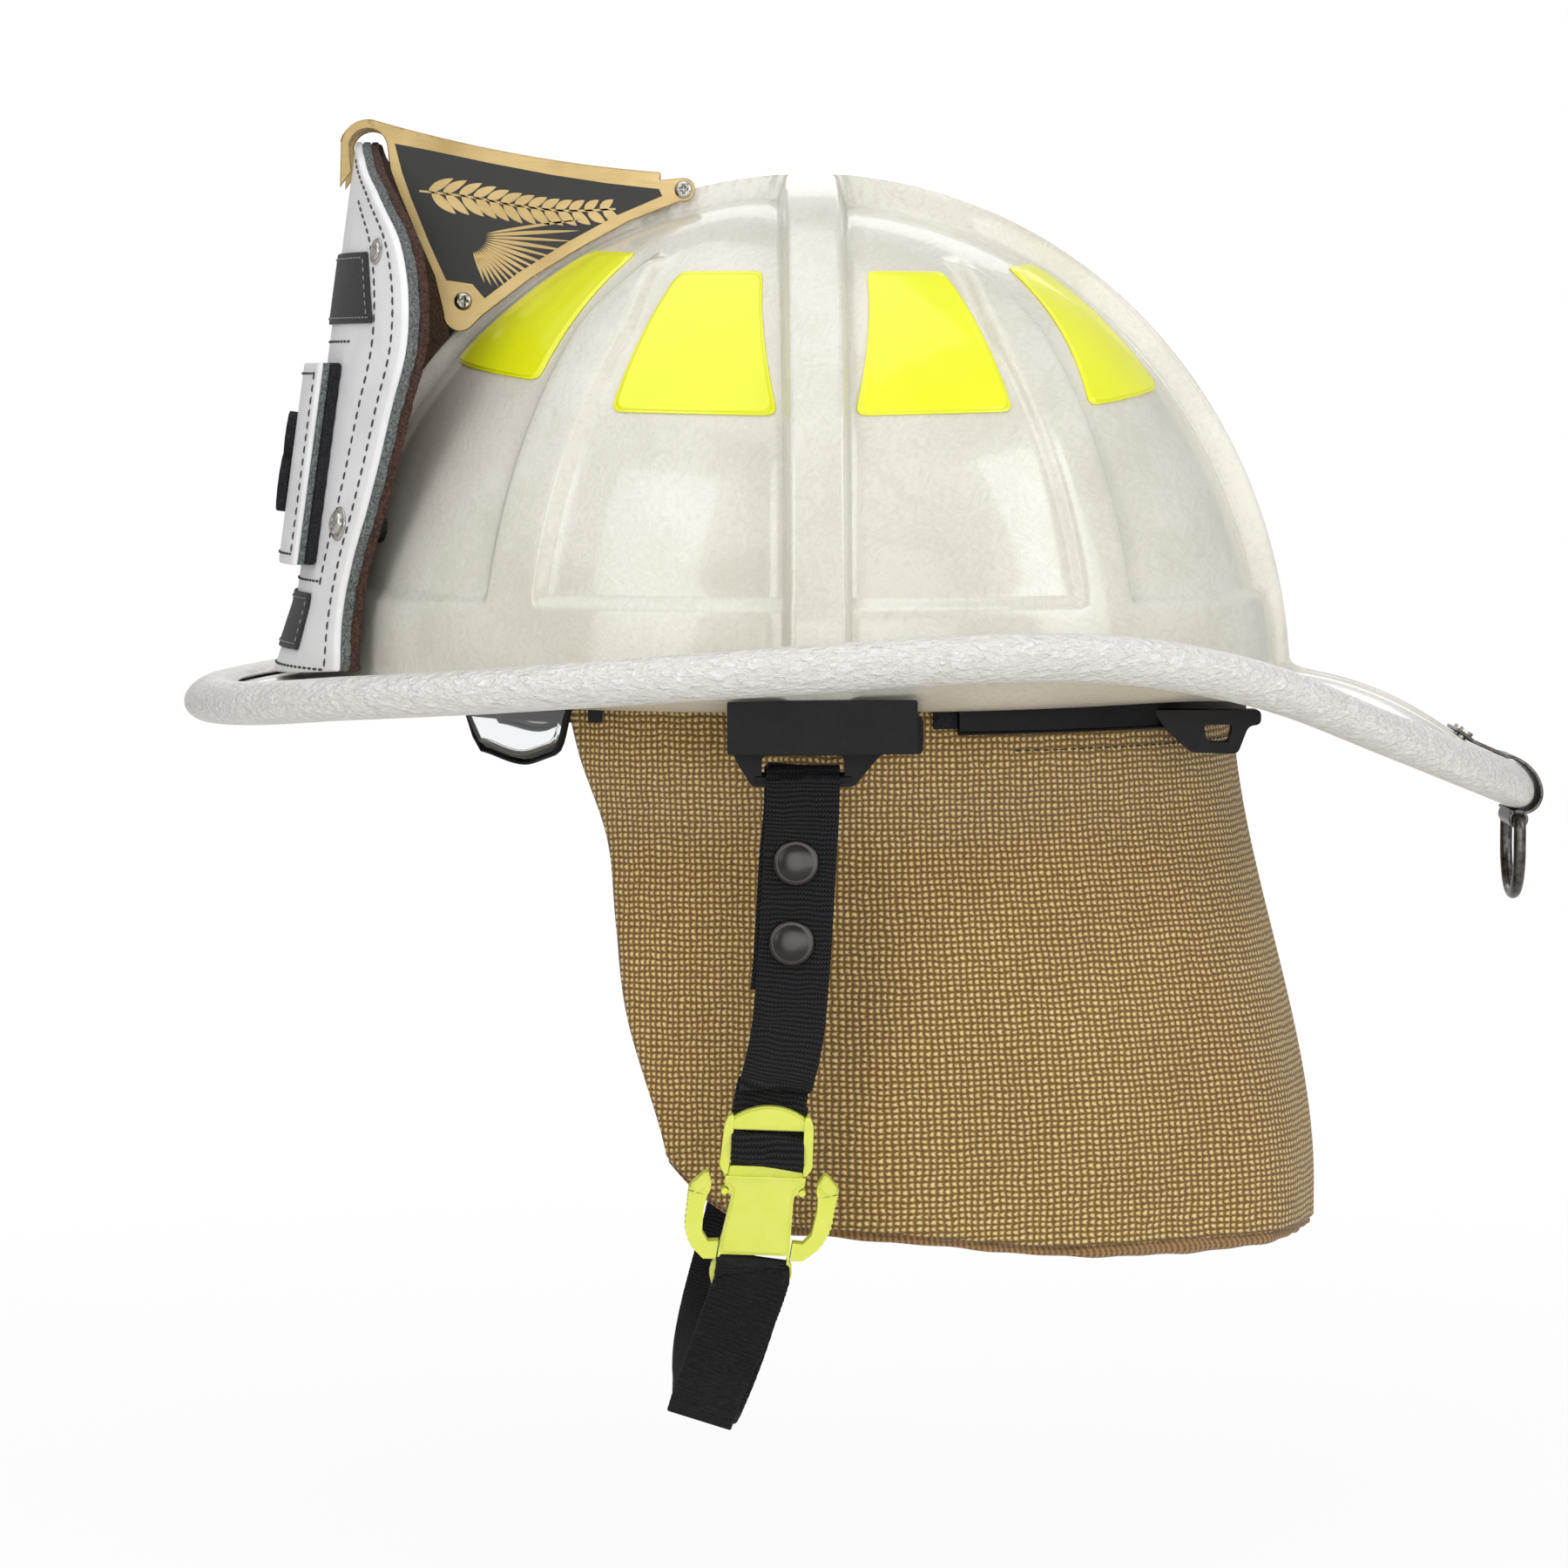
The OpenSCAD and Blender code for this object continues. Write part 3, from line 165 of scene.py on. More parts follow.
soft_box("box_above", (0.25, -0.2, 1.5), (1.6, 1.6), 9.8)
soft_box("box_side", (1.5, -0.9, 0.7), (0.7, 1.2), 7.6)
soft_box("box_low", (1.9, 0.35, 0.12), (1.3, 0.6), 6.8)
soft_box("box_rear", (0.9, 1.4, 0.7), (0.6, 1.2), 8)
soft_box("box_far", (-1.4, 0.1, 0.8), (1.2, 1.2), 6)


# A piece's mesh starts from an operator's grid, whose points are then moved to their places.
# Rows that come back to their first point are merged there, and so is a row at a pole. Open
# ends can be capped, and a map in millimetres can be laid on the grid by row and column.
def sheet_of(rows, capped=False, lay=None):
    grid = bmesh.new()
    across, down = len(rows[0]), len(rows)
    bmesh.ops.create_grid(grid, x_segments=across - 1, y_segments=down - 1, size=1)
    grid.verts.ensure_lookup_table()
    for j, row in enumerate(rows):
        for i, point in enumerate(row):
            grid.verts[j * across + i].co = Vector(point) * MM
    if lay:
        layer = grid.loops.layers.uv.new("threads")
        for loop in [loop for face in grid.faces for loop in face.loops]:
            loop[layer].uv = lay(*divmod(loop.vert.index, across))
    bmesh.ops.remove_doubles(grid, verts=grid.verts, dist=2e-6)
    if capped:
        bmesh.ops.holes_fill(grid, edges=[e for e in grid.edges if e.is_boundary], sides=0)
    bmesh.ops.recalc_face_normals(grid, faces=grid.faces)
    return grid


def piece_of(name, grid, body, material, smooth=True):
    mesh = bpy.data.meshes.new(name)
    grid.to_mesh(mesh)
    grid.free()
    for face in mesh.polygons:
        face.use_smooth = smooth
    made = bpy.data.objects.new(name, mesh)
    bpy.context.scene.collection.objects.link(made)
    mesh.materials.append(material)
    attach(made, body)
    return made


# Outer shell: compression-moulded fibre composite, painted ivory. Its dome carries a centre
# ridge, a cross rib and four diagonal ribs over a base band, and runs out into the brim.
half_w, front, rear, height = 113.0, 143.0, 139.0, 149.5
ridge_half, flank_w, cross_half, diag_half, slope_w = 9.4, 1.2, 7.0, 6.0, 3.2
band_depth, pocket_depth, band_h = 4.4, 3.6, 28.0
diag_at, diag_fade, diag_tip, front_share = 38.0, 106.0, 131.0, 0.68
band_rise = 1.7 * slope_w
brim_t, root_lift = 3.2, 3.0
inner_depth = band_depth + pocket_depth + 3.2
edge_line = [(-38, -168, -0.5), (0, -172, -0.5), (38, -168, -0.5), (72, -153, 1), (101, -128, 4),
             (123, -92, 7), (135, -48, 10.5), (140, 0, 14), (139, 43, 16.5), (129, 82, 15.5),
             (107, 121, 7.5), (77, 157, -7), (42, 187, -19.5), (0, 203, -26.6), (-42, 187, -19.5)]


def ease(t):
    t = max(0.0, min(1.0, t))
    return t * t * (3 - 2 * t)


def along(points, t):
    i = max(0, min(int(t), len(points) - 2))
    f = t - i
    a, b, c, d = (Vector(points[max(0, min(len(points) - 1, k))]) for k in (i - 1, i, i + 1, i + 2))
    return 0.5 * (2 * b + (c - a) * f + (2 * a - 5 * b + 4 * c - d) * f**2 + (3 * b - a - 3 * c + d) * f**3)


def deg_sin(a):
    return math.sin(math.radians(a))


def deg_cos(a):
    return math.cos(math.radians(a))


def deg_asin(v):
    return math.degrees(math.asin(max(-1.0, min(1.0, v))))


def reach_of(a):
    return front if deg_sin(a) < 0 else rear


def dome_pt(a, s, d):
    return Vector(((half_w - d) * deg_cos(s) * deg_cos(a), (reach_of(a) - d) * deg_cos(s) * deg_sin(a),
                   (height - d) * deg_sin(s)))


def depth_share(a):
    return 1 - (1 - front_share) * ease(-1.2 * deg_sin(a))


def per_degree(reach, c):
    return reach * c * deg_cos(diag_at) * math.pi / 180


def diag_angle(z, reach, c):
    fade = 1 - ease((z - diag_fade) / (diag_tip - diag_fade))
    return max(0.5, diag_half * fade / per_degree(reach, c))


def rib_depth(a, s):
    p = dome_pt(a, s, 0)
    c = max(0.2, deg_cos(s))
    beside = ease((abs(p.y) - cross_half) / slope_w) * ease((abs(p.x) - ridge_half) / flank_w)
    w = diag_angle(p.z, reach_of(a), c)
    fold = deg_asin(abs(deg_sin(a)))
    off = (abs(fold - diag_at) - w) * per_degree(reach_of(a), c) / slope_w
    gone = ease((p.z - diag_tip + 6) / 6)
    pocket = max(ease(off), gone) * ease((p.z - band_h) / band_rise)
    return beside * depth_share(a) * (band_depth + pocket * pocket_depth)


def spread(a, b, n):
    return [a + (b - a) * i / n for i in range(n + 1)]


def quarter(s, reach):
    c = max(deg_cos(s), 0.36)
    z = height * deg_sin(s)
    stops = [0, deg_asin(cross_half / (reach * c)), deg_asin((cross_half + slope_w) / (reach * c))]
    w, e = diag_angle(z, reach, c), slope_w / per_degree(reach, c)
    stops += [diag_at - w - e, diag_at - w, diag_at + w, diag_at + w + e]
    stops += [math.degrees(math.acos((ridge_half + flank_w) / (half_w * c))),
              math.degrees(math.acos(ridge_half / (half_w * c))), 90]
    made = [0.0]
    for i, n in enumerate((5, 6, 16, 7, 6, 7, 14, 4, 5)):
        made += spread(stops[i], stops[i + 1], n)[1:]
    return made


def columns(s):
    r, f = quarter(s, rear), quarter(s, front)
    return (r + [180 - a for a in reversed(r)][1:] + [180 + a for a in f][1:]
            + [360 - a for a in reversed(f)][1:])


def edge_at(a):
    p = along(edge_line, (deg_asin(deg_sin(a)) + 90) / 15 + 1)
    return Vector((-p.x if deg_cos(a) < 0 else p.x, p.y, p.z))


def root_z(a):
    return brim_t + root_lift * deg_sin(a) ** 2


def root_at(a):
    s = deg_asin(root_z(a) / height)
    p = dome_pt(a, s, rib_depth(a, s))
    return Vector((p.x, p.y, root_z(a)))


def brim_at(a, k):
    r, e = root_at(a), edge_at(a)
    flat = r.lerp(e, k)
    drop = k ** (1.3 + 0.6 * max(0, deg_sin(a)))
    return Vector((flat.x, flat.y, (root_z(a) - brim_t / 2) * (1 - drop) + e.z * drop))


def edge_frame(a):
    t = (edge_at(a + 1) - edge_at(a - 1)).normalized()
    o = brim_at(a, 1) - brim_at(a, 0.96)
    o = (o - t * o.dot(t)).normalized()
    u = o.cross(t)
    return o, -u if u.z < 0 else u


def brim_top(a, k):
    return brim_at(a, k) + Vector((0, 0, brim_t / 2))


def noise(at, scale, detail=2, **more):
    return add(at.id_data, "TexNoise", {"Vector": at, "Scale": scale, "Detail": detail, **more})


def ramp_of(value, low, dark, high, light):
    ramp = add(value.id_data, "ValToRGB", {"Fac": value})
    for stop, at, colour in zip(ramp.color_ramp.elements, (low, high), (dark, light)):
        stop.position, stop.color = at, linear(colour)
    return ramp


def tint(shader, *ramp):
    feed(shader, {"Base Color": ramp_of(*ramp)})


def emboss(shader, height_at, strength, reach):
    bump = add(shader.id_data, "Bump", {"Height": height_at, "Strength": strength, "Distance": reach})
    feed(shader, {"Normal": bump})


# The fibre mat shows through the paint as fine crossed wrinkles: stretched, warped noise
# about 1 mm across and 6 mm long, drawn coarser than the fibres so that it shows.
shell_paint, tree, shader, where = finish_of(
    "polyester_composite_ivory_paint", "#e2ded3", 0.24, Coat_Weight=0.6, Coat_Roughness=0.07)
hairs = []
for angle, reach, seed in ((0.5, 150, 0), (2.1, 170, 7)):
    turned = add(tree, "Mapping", {"Vector": where, "Rotation": (angle, 0.7, angle * 1.3),
                                   "Location": (seed, 0, seed)})
    bent = noise(turned, 60, 1)
    mixed = add(tree, "Mix", {0: 0.012, "A": turned, "B": bent.outputs["Color"]}, data_type="VECTOR")
    thin = add(tree, "Mapping", {"Vector": mixed.outputs["Result"], "Scale": (1, 1, 0.2)})
    hairs.append(noise(thin, 5 * reach, 3, Roughness=0.6))
fibres = calc("MINIMUM", hairs[0], hairs[1])
cloud = noise(where, 35, 2)
tone = calc("MULTIPLY_ADD", fibres, cloud, 0.0)
tint(shader, tone, 0.12, "#dbd7ca", 0.3, "#eae6db")
emboss(shader, fibres, 0.38, 0.0004)

band_edge = deg_asin(band_h / height), deg_asin((band_h + band_rise) / height)
climbs = spread(89.9, 84, 3) + spread(82, band_edge[1], 46) + spread(*reversed(band_edge), 6)[1:]
climbs += spread(band_edge[0], 6.5, 6)[1:]
foot = columns(0)
rows = [[Vector((0, 0, height))] * len(foot)]
rows += [[dome_pt(a, s, rib_depth(a, s)) for a in columns(s)] for s in climbs]
low_s = deg_asin((brim_t + root_lift + 5) / height)
for k in spread(0, 1, 6):
    row = []
    for a in foot:
        wall = dome_pt(a, low_s * (1 - k) + deg_asin((root_z(a) + 0.6) / height) * k,
                       rib_depth(a, low_s))
        out = brim_top(a, 0.02 + 0.16 * k**2)
        row.append(wall.lerp(out, k**2.2) + Vector((0, 0, 0.9 * k * (1 - k))))
    rows.append(row)
rows += [[brim_top(a, k) for a in foot] for k in spread(0.2, 0.94, 20)]
edge_parts = [(edge_at(a), edge_frame(a)) for a in foot]
for side in (0.5, -0.5):
    rows.append([e + o + u * brim_t * side for e, (o, u) in edge_parts])
rows += [[brim_top(a, k) - Vector((0, 0, brim_t)) for a in foot] for k in spread(0.94, 0.1, 12)]
rows.append([dome_pt(a, deg_asin((root_z(a) - brim_t) / height), inner_depth) for a in foot])
rows += [[dome_pt(a, s, inner_depth) for a in foot] for s in spread(6, 84, 18)]
rows.append([Vector((0, 0, height - inner_depth))] * len(foot))
shell = piece_of("shell", sheet_of(rows), "helmet", shell_paint)
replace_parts(shell, "outer_shell")

# Edge trim: a flexible moulded U-section pushed over the brim's edge, white, with a coarse
# leather grain pressed into it. Its two ends meet under the rear bracket.
trim_w, trim_t, slot_depth = 17.0, 12.0, 1.4
trim_grain, tree, shader, where = finish_of("flexible_vinyl_white_leather_grain", "#f4f3f0", 0.36)
# Grain cells about 1.8 mm across and 3 mm along, pulled along the bead.
long_way = add(tree, "Mapping", {"Vector": where, "Scale": (1, 0.55, 1.2)})
shift = noise(where, 420, 2)
pulled = add(tree, "Mix", {0: 0.0022, "A": long_way, "B": shift.outputs["Color"]}, data_type="VECTOR")
cells = add(tree, "TexVoronoi", {"Vector": pulled.outputs["Result"], "Scale": 560}, feature="SMOOTH_F1")
creases = noise(long_way, 800, 2, Distortion=1.2)
grain = calc("MULTIPLY_ADD", cells, -1.1, creases)
emboss(shader, grain, 1.0, 0.0008)
tint(shader, grain, 0.0, "#e9e7e1", 0.35, "#f7f6f3")
section = [(trim_w / 2 * deg_cos(t), trim_t / 2 * deg_sin(t)) for t in spread(152, -152, 38)]
section += [(-7.75, -2.75), (-7.2, -2.3), (slot_depth, -1.85), (slot_depth, 1.85), (-7.2, 2.3),
            (-7.75, 2.75)]
section.append(section[0])
rows = []
for a in spread(0, 360, 300):
    e, (o, u) = edge_at(a), edge_frame(a)
    rows.append([e + o * x + u * z for x, z in section])
trim = piece_of("trim", sheet_of(rows), "helmet", trim_grain)
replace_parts(trim, "edge_trim")

# Reflective trapezoids: soft fluorescent lime vinyl with a sealed lens film, die-cut with
# rounded corners, its rim pressed thinner, stuck to the pockets at eight places.
corners = {"reflector_front": [(45.5, 90), (79, 96), (71, 127), (47.5, 126)],
           "reflector_side_front": [(5.4, 80.5), (30, 81.5), (30, 120.5), (11.3, 120.5)],
           "reflector_side_rear": [(5.6, 80.5), (30.5, 81.5), (31.5, 120.5), (12.2, 120.5)],
           "reflector_rear": [(46, 83), (73, 88), (76, 123.5), (55.5, 122)]}
# The film's emission is a painted glow: it makes the lime brighter than the lamps alone light it.
vinyl, tree, shader, where = finish_of(
    "fluorescent_vinyl_film_lime_painted_glow", "#edf218", 0.3, Coat_Weight=0.5, Coat_Roughness=0.08,
    Emission_Color=linear("#eef000"), Emission_Strength=0.08)
# Film laid over the shell's fibres follows them faintly; 1.1 mm cells break its gloss.
fine = noise(where, 900, 2)
slow = noise(where, 55, 1)
tint(shader, slow, 0.3, "#ebf014", 0.7, "#f1f61e")
emboss(shader, fine, 0.06, 0.0002)


def on_pocket(a, z, lift):
    d = depth_share(a) * (band_depth + pocket_depth) - lift
    return dome_pt(a, deg_asin(z / (height - d)), d)


def patch_point(shape, u, v, lift, turn, side):
    (a0, z0), (a1, z1), (a2, z2), (a3, z3) = shape
    a = (a0 * (1 - u) + a1 * u) * (1 - v) + (a3 * (1 - u) + a2 * u) * v
    z = (z0 * (1 - u) + z1 * u) * (1 - v) + (z3 * (1 - u) + z2 * u) * v
    p = on_pocket(turn * a, z, lift)
    return Vector((p.x * side, p.y, p.z))


# A ring of the sheet: the unit square's outline at a share of its size, with round corners.
def rounded_ring(share, count, corner):
    ring = []
    for i in range(count):
        t = 4 * i / count
        k, f = int(t), 2 * (t - int(t)) - 1
        x, y = ((f, -1), (1, f), (-f, 1), (-1, -f))[k]
        ax, ay = abs(x), abs(y)
        if ax > 1 - corner and ay > 1 - corner:
            dx, dy = ax - 1 + corner, ay - 1 + corner
            far = max(dx, dy) / math.hypot(dx, dy)
            x = math.copysign(1 - corner + dx * far, x)
            y = math.copysign(1 - corner + dy * far, y)
        ring.append((0.5 + share * x / 2, 0.5 + share * y / 2))
    return ring + ring[:1]


def merged(parts):
    joined = bmesh.new()
    for part in parts:
        one = bpy.data.meshes.new("part")
        part.to_mesh(one)
        part.free()
        joined.from_mesh(one)
        bpy.data.meshes.remove(one)
    return joined


rings = [(k, 0.75) for k in (0.0, 0.2, 0.4, 0.6, 0.8, 0.93)]
rings += [(0.955, 0.8), (0.962, 0.55), (0.985, 0.55), (0.998, 0.5), (1.0, 0.42), (1.0, 0.3), (0.0, 0.3)]
for node, shape in corners.items():
    turn = -1 if "front" in node else 1
    pair = []
    for side in (1, -1):
        rows = [[patch_point(shape, u, v, lift, turn, side) for u, v in rounded_ring(share, 96, 0.13)]
                for share, lift in rings]
        pair.append(sheet_of(rows))
    film = piece_of(node.replace("reflector", "film"), merged(pair), "helmet", vinyl)
    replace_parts(film, node)


# Front holder: one folded plate of half-hard brass that straddles the ridge and hooks over
# the leather. Its flanks are etched and filled black, and its rolled top is rubbed bare.
holder_in, brass_t = 10.9, 1.2
holder_out = holder_in + brass_t
rear_screw, front_screw = (-36.5, 144.4), (-99.6, 112.6)
hook, hook_r, plate_end = (-126.6, 156.6), 7.8, (-43.2, 149.4)


def arc(c, r, a, b, n):
    return [(c[0] + r * deg_cos(t), c[1] + r * deg_sin(t)) for t in spread(a, b, n)]


dip_from, dip_to = Vector((-124.98, 164.23, 0)), Vector((*plate_end, 0))
dip = [dip_from.lerp(dip_to, t) - Vector((0, 8.8 * t * (1 - t), 0)) for t in spread(0.08, 0.92, 12)]
plate_edge = [(-134.7, 145), (-134.4, 155)] + arc(hook, hook_r, 175, 78, 12)
plate_edge += [(p.x, p.y) for p in dip] + [plate_end, (-43.2, 147.2)]
plate_edge += arc(rear_screw, 3.4, 90, -105, 12)
plate_edge += [(-52, 135.4), (-64.5, 128.6), (-80, 119.3), (-94, 108.6)]
plate_edge += arc((-100.6, 108.8), 4.8, -50, -185, 10)
plate_edge += [(-108, 120), (-113, 131.5), (-118, 143.5), (-120.4, 150), (-121, 156)]
plate_edge += arc((-126.6, 156.2), 5.5, 10, 170, 12) + [(-131.35, 149.6)]

# Brushed brass: strokes 0.17 mm wide along the plate, and brown where the fold is worn.
brass, tree, shader, where = finish_of("brushed_cartridge_brass", "#cdb27a", 0.3, Metallic=1.0)
strokes = add(tree, "Mapping", {"Vector": where, "Scale": (900, 60, 6000)})
lines = noise(strokes, 1.0, 3)
spots = noise(where, 260, 4, Roughness=0.7)
worn = noise(where, 45, 2)
rust = ranged(spots, 0.56, 0.72)
base = add(tree, "Mix", {0: worn, "A": linear("#8a7348"), "B": linear("#cbb482")}, data_type="RGBA")
top = add(tree, "SeparateXYZ", {"Vector": where})
slope = calc("MULTIPLY_ADD", top.outputs["Y"], 0.176, top.outputs["Z"])
fold_line = ranged(slope, 0.1385, 0.1415)
rubbed = calc("MULTIPLY", rust, fold_line)
tinted = add(tree, "Mix", {0: rubbed, "A": base.outputs["Result"], "B": linear("#6d4a22")},
             data_type="RGBA")
feed(shader, {"Base Color": tinted.outputs["Result"]})
feed(shader, {"Roughness": ranged(lines, to=(0.22, 0.42))})
emboss(shader, lines, 0.3, 0.0001)


# A slab: loops of points filled, pushed out along one direction, its sharp edges bevelled. A
# side plate is a slab drawn in the side view and pushed out along X, with holes or windows.
def soften(solid, by, segments=2, edges=None):
    sharp = [e for e in solid.edges if len(e.link_faces) == 2 and e.calc_face_angle() > 1.2]
    bmesh.ops.bevel(solid, geom=edges or sharp, offset=by * MM, offset_type="OFFSET", segments=segments,
                    profile=0.5, affect="EDGES", material=-1, clamp_overlap=True)


def slab(loops, push, edge=0.0, segments=2):
    made = bmesh.new()
    edges = []
    for loop in loops:
        ring = [made.verts.new([c * MM for c in point]) for point in loop]
        edges += [made.edges.new((ring[i - 1], ring[i])) for i in range(1, len(ring))]
        edges.append(made.edges.new((ring[-1], ring[0])))
    bmesh.ops.triangle_fill(made, edges=edges, use_beauty=True)
    moved = bmesh.ops.extrude_face_region(made, geom=list(made.faces))
    bmesh.ops.translate(made, vec=[c * MM for c in push],
                        verts=[g for g in moved["geom"] if isinstance(g, bmesh.types.BMVert)])
    bmesh.ops.recalc_face_normals(made, faces=made.faces)
    if edge:
        soften(made, edge, segments)
    return made


def side_plate(outline, x, thick, edge=0.0, holes=(), windows=(), segments=2):
    loops = [outline, *windows] + [arc(c, r, 0, 345, 23) for c, r in holes]
    return slab([[(x, y, z) for y, z in loop] for loop in loops], (thick, 0, 0), edge, segments)


holes = [(front_screw, 1.4), (rear_screw, 1.4)]
plates = [side_plate(plate_edge, x, brass_t, 0.3, holes) for x in (holder_in, -holder_out)]
crest = [((y, z), Vector((y - hook[0], z - hook[1])).normalized())
         for y, z in arc(hook, hook_r, 168, 78, 12)]
crest += [((p.x, p.y), Vector((deg_cos(79.7), deg_sin(79.7)))) for p in dip]
crest.append((plate_end, Vector((deg_cos(84), deg_sin(84)))))
rows = []
for (y, z), n in crest:
    row = []
    for t in spread(0, 180, 16):
        x, rise = holder_out * deg_cos(t), 1.15 * deg_sin(t) ** 0.7
        row.append(Vector((x, y + n.x * rise * 0.6, z + n.y * (rise - 1.0))))
    for t in spread(180, 0, 16):
        x = holder_in * deg_cos(t)
        row.append(Vector((x, y - n.x * 1.2, z + n.y * (1.15 * 0.3 * deg_sin(t) - 2.1))))
    row.append(row[0])
    rows.append(row)
holder = piece_of("holder_plates", merged(plates + [sheet_of(rows, capped=True)]), "helmet", brass,
                  smooth=False)
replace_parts(holder, "front_holder")

# The etched field is a thin black layer let into each flank, with a laurel spray and rays left
# in bare brass on it. The pattern is this helmet's own generic one.
etch, tree, shader, where = finish_of("black_etch_filling", "#141311", 0.38)
emboss(shader, noise(where, 2500, 2), 0.15, 0.0001)
field_edge = [(-119, 157.5), (-108, 155.4), (-92, 152), (-74, 148.6), (-58, 146.2), (-43.5, 144.6),
              (-42.6, 142.6), (-56, 136.9), (-70, 129.3), (-84, 120.6), (-93.5, 113.4), (-97, 117.5),
              (-104.5, 118.6), (-109.4, 129.5), (-114.4, 142), (-117, 149.5)]


def leaf(base, turned, long, wide, bend=0.0):
    points = []
    for side in (1, -1):
        for k in (spread(0, 1, 9) if side == 1 else spread(1, 0, 9)[1:-1]):
            s, w = k * long, side * wide / 2 * math.sin(math.pi * k ** 0.8) ** 0.85
            lift = bend * k * (1 - k) * long
            points.append((base[0] + s * deg_cos(turned) - (w + lift) * deg_sin(turned),
                           base[1] + s * deg_sin(turned) + (w + lift) * deg_cos(turned)))
    return points


stem = [(-112, 144), (-98, 142.4), (-84, 139.8), (-70, 138.4), (-56, 138.9)]
marks = []
for i in range(13):
    t = 0.25 + i * 0.28
    p, q = along([(*s, 0) for s in stem], t), along([(*s, 0) for s in stem], t + 0.05)
    heading = math.degrees(math.atan2(q.y - p.y, q.x - p.x))
    size = 8.2 - 0.28 * i
    marks.append(leaf((p.x, p.y), heading + 34, size, 2.5, 0.1))
    marks.append(leaf((p.x + 0.9, p.y), heading - 36, size + 1.2, 2.7, -0.1))
line = [along([(*s, 0) for s in stem], t) for t in spread(0, 4, 24)]
marks.append([(p.x, p.y + 0.28) for p in line] + [(p.x, p.y - 0.28) for p in reversed(line)])
hub = (-100.5, 131.5)
for i in range(15):
    turned = -74 + i * 5.6
    start = (hub[0] + 5 * deg_cos(turned) + 2.4, hub[1] + 5 * deg_sin(turned))
    reach_in = 9.5 + 1.35 * i
    marks.append(leaf(start, turned + 4, reach_in, 0.85 + 0.25 * (i % 2), 0.02))


def flanks(outlines, out, thick):
    made = []
    for outline in outlines:
        made.append(side_plate(outline, holder_out + out, thick))
        made.append(side_plate(outline, -holder_out - out - thick, thick))
    return merged(made)


piece_of("holder_etch", flanks([field_edge], -0.02, 0.05), "helmet", etch, smooth=False)
piece_of("holder_spray", flanks(marks, 0.02, 0.04), "helmet", brass, smooth=False)

# Leather front: three layers of vegetable-tanned leather, white over grey over a brown back,
# sewn together near the edge and bent back from a flared foot.
leather_foot, leather_top, leather_lean = 6.6, 158.0, 0.137
leather_at, leather_bow, flare_by, flare_top = -151.3, 200, 4, 26.52
leather_z = [0, 20, 35, 47, 61, 76, 93, 110, 124, 137, 147, 152]
leather_w = [58, 55, 57, 60.5, 63.5, 66, 69, 66, 58, 41, 22, 9]


def leather_half(k):
    k = max(0.0, min(152.0, k))
    i = max(j for j in range(11) if leather_z[j] <= k)
    return along([(w, 0, 0) for w in leather_w],
                 i + (k - leather_z[i]) / (leather_z[i + 1] - leather_z[i])).x


def leather_pt(x, z, back_by):
    flare = flare_by * max(0, (flare_top - z) / 20) * (1 - x * x / 3600)
    y = leather_at + leather_lean * (z - leather_foot) + x * x / leather_bow - flare
    return Vector((x, y + back_by * math.sqrt(1 + (x / 100) ** 2), z))


# A bent board: closed loops up the leather, thinned at both ends, with rounded long edges.
# Its half width and its heights may change along it.
def board(half_at, z_low, z_high, front_at, back_at, rows_up, edge=0.45, sag=0.0, across=28):
    mid, thick = (front_at + back_at) / 2, (back_at - front_at) / 2
    rows = []
    levels = [(0, 0.0), (0, 0.55), (0.3, 0.85), (0.9, 1)]
    levels += [(None, t) for t in spread(0, 1, rows_up)[1:-1]]
    levels += [(-0.9, 1), (-0.3, 0.85), (0, 0.55), (0, 0.0)]
    for n, (inset, t) in enumerate(levels):
        if inset is None:
            z, slim = z_low + (z_high - z_low) * t, 1
        else:
            z, slim = (z_low if n < 4 else z_high) + inset, t
        w = half_at(z)
        row = []
        for face in (1, -1):
            ends = spread(-1, 1, across) if face == 1 else spread(1, -1, across)
            for u in ends:
                x = u * (w - edge)
                lift = sag * u * u * max(0, 1 - (z - z_low) / 20) ** 2
                row.append(leather_pt(x, z + lift, mid - face * thick * slim))
            side = 1 if face == 1 else -1
            for t2 in (45, 90, 135) if thick * slim > 0.05 else (90,):
                x = side * (w - edge + edge * deg_sin(t2))
                lift = sag * max(0, 1 - (z - z_low) / 20) ** 2
                row.append(leather_pt(x, z + lift, mid - face * thick * slim * deg_cos(t2)))
        if len(row) < 2 * (across + 1) + 6:
            row = row[: across + 2] + [row[across + 1]] * 2 + row[across + 2 :] + [row[-1]] * 2
        rows.append(row + row[:1])
    return sheet_of(rows)


def kz(z):
    return (z - leather_foot) * 152 / (leather_top - leather_foot)


white_leather, tree, shader, where = finish_of(
    "finished_leather_white", "#eeeeef", 0.4, Coat_Weight=0.15, Coat_Roughness=0.3)
# Pores about 0.8 mm apart under the finish, faint creases, and a soft grey bloom.
pores = add(tree, "TexVoronoi", {"Vector": where, "Scale": 1200}, feature="F1")
bloom = noise(where, 70, 3)
tint(shader, bloom, 0.3, "#eeeef0", 0.6, "#f8f8f9")
emboss(shader, pores, 0.12, 0.0002)


# Raw edges, backs and pile: felted fibres drawn 0.6 to 1.1 mm across, as speckle over a tone.
def raw_leather(name, dark, light, scale, roughness=0.95):
    material, tree, shader, where = finish_of(name, dark, roughness)
    hair = noise(where, scale, 4, Roughness=0.75)
    tint(shader, hair, 0.38, dark, 0.66, light)
    emboss(shader, hair, 0.8, 0.0006)
    return material


grey_leather = raw_leather("split_leather_grey_raw_edge", "#3d4242", "#8d9593", 1500)
brown_leather = raw_leather("split_leather_brown_raw", "#2a1a14", "#5f4437", 1100)
black_leather = raw_leather("finished_leather_black", "#17171a", "#2c2c30", 900, 0.5)


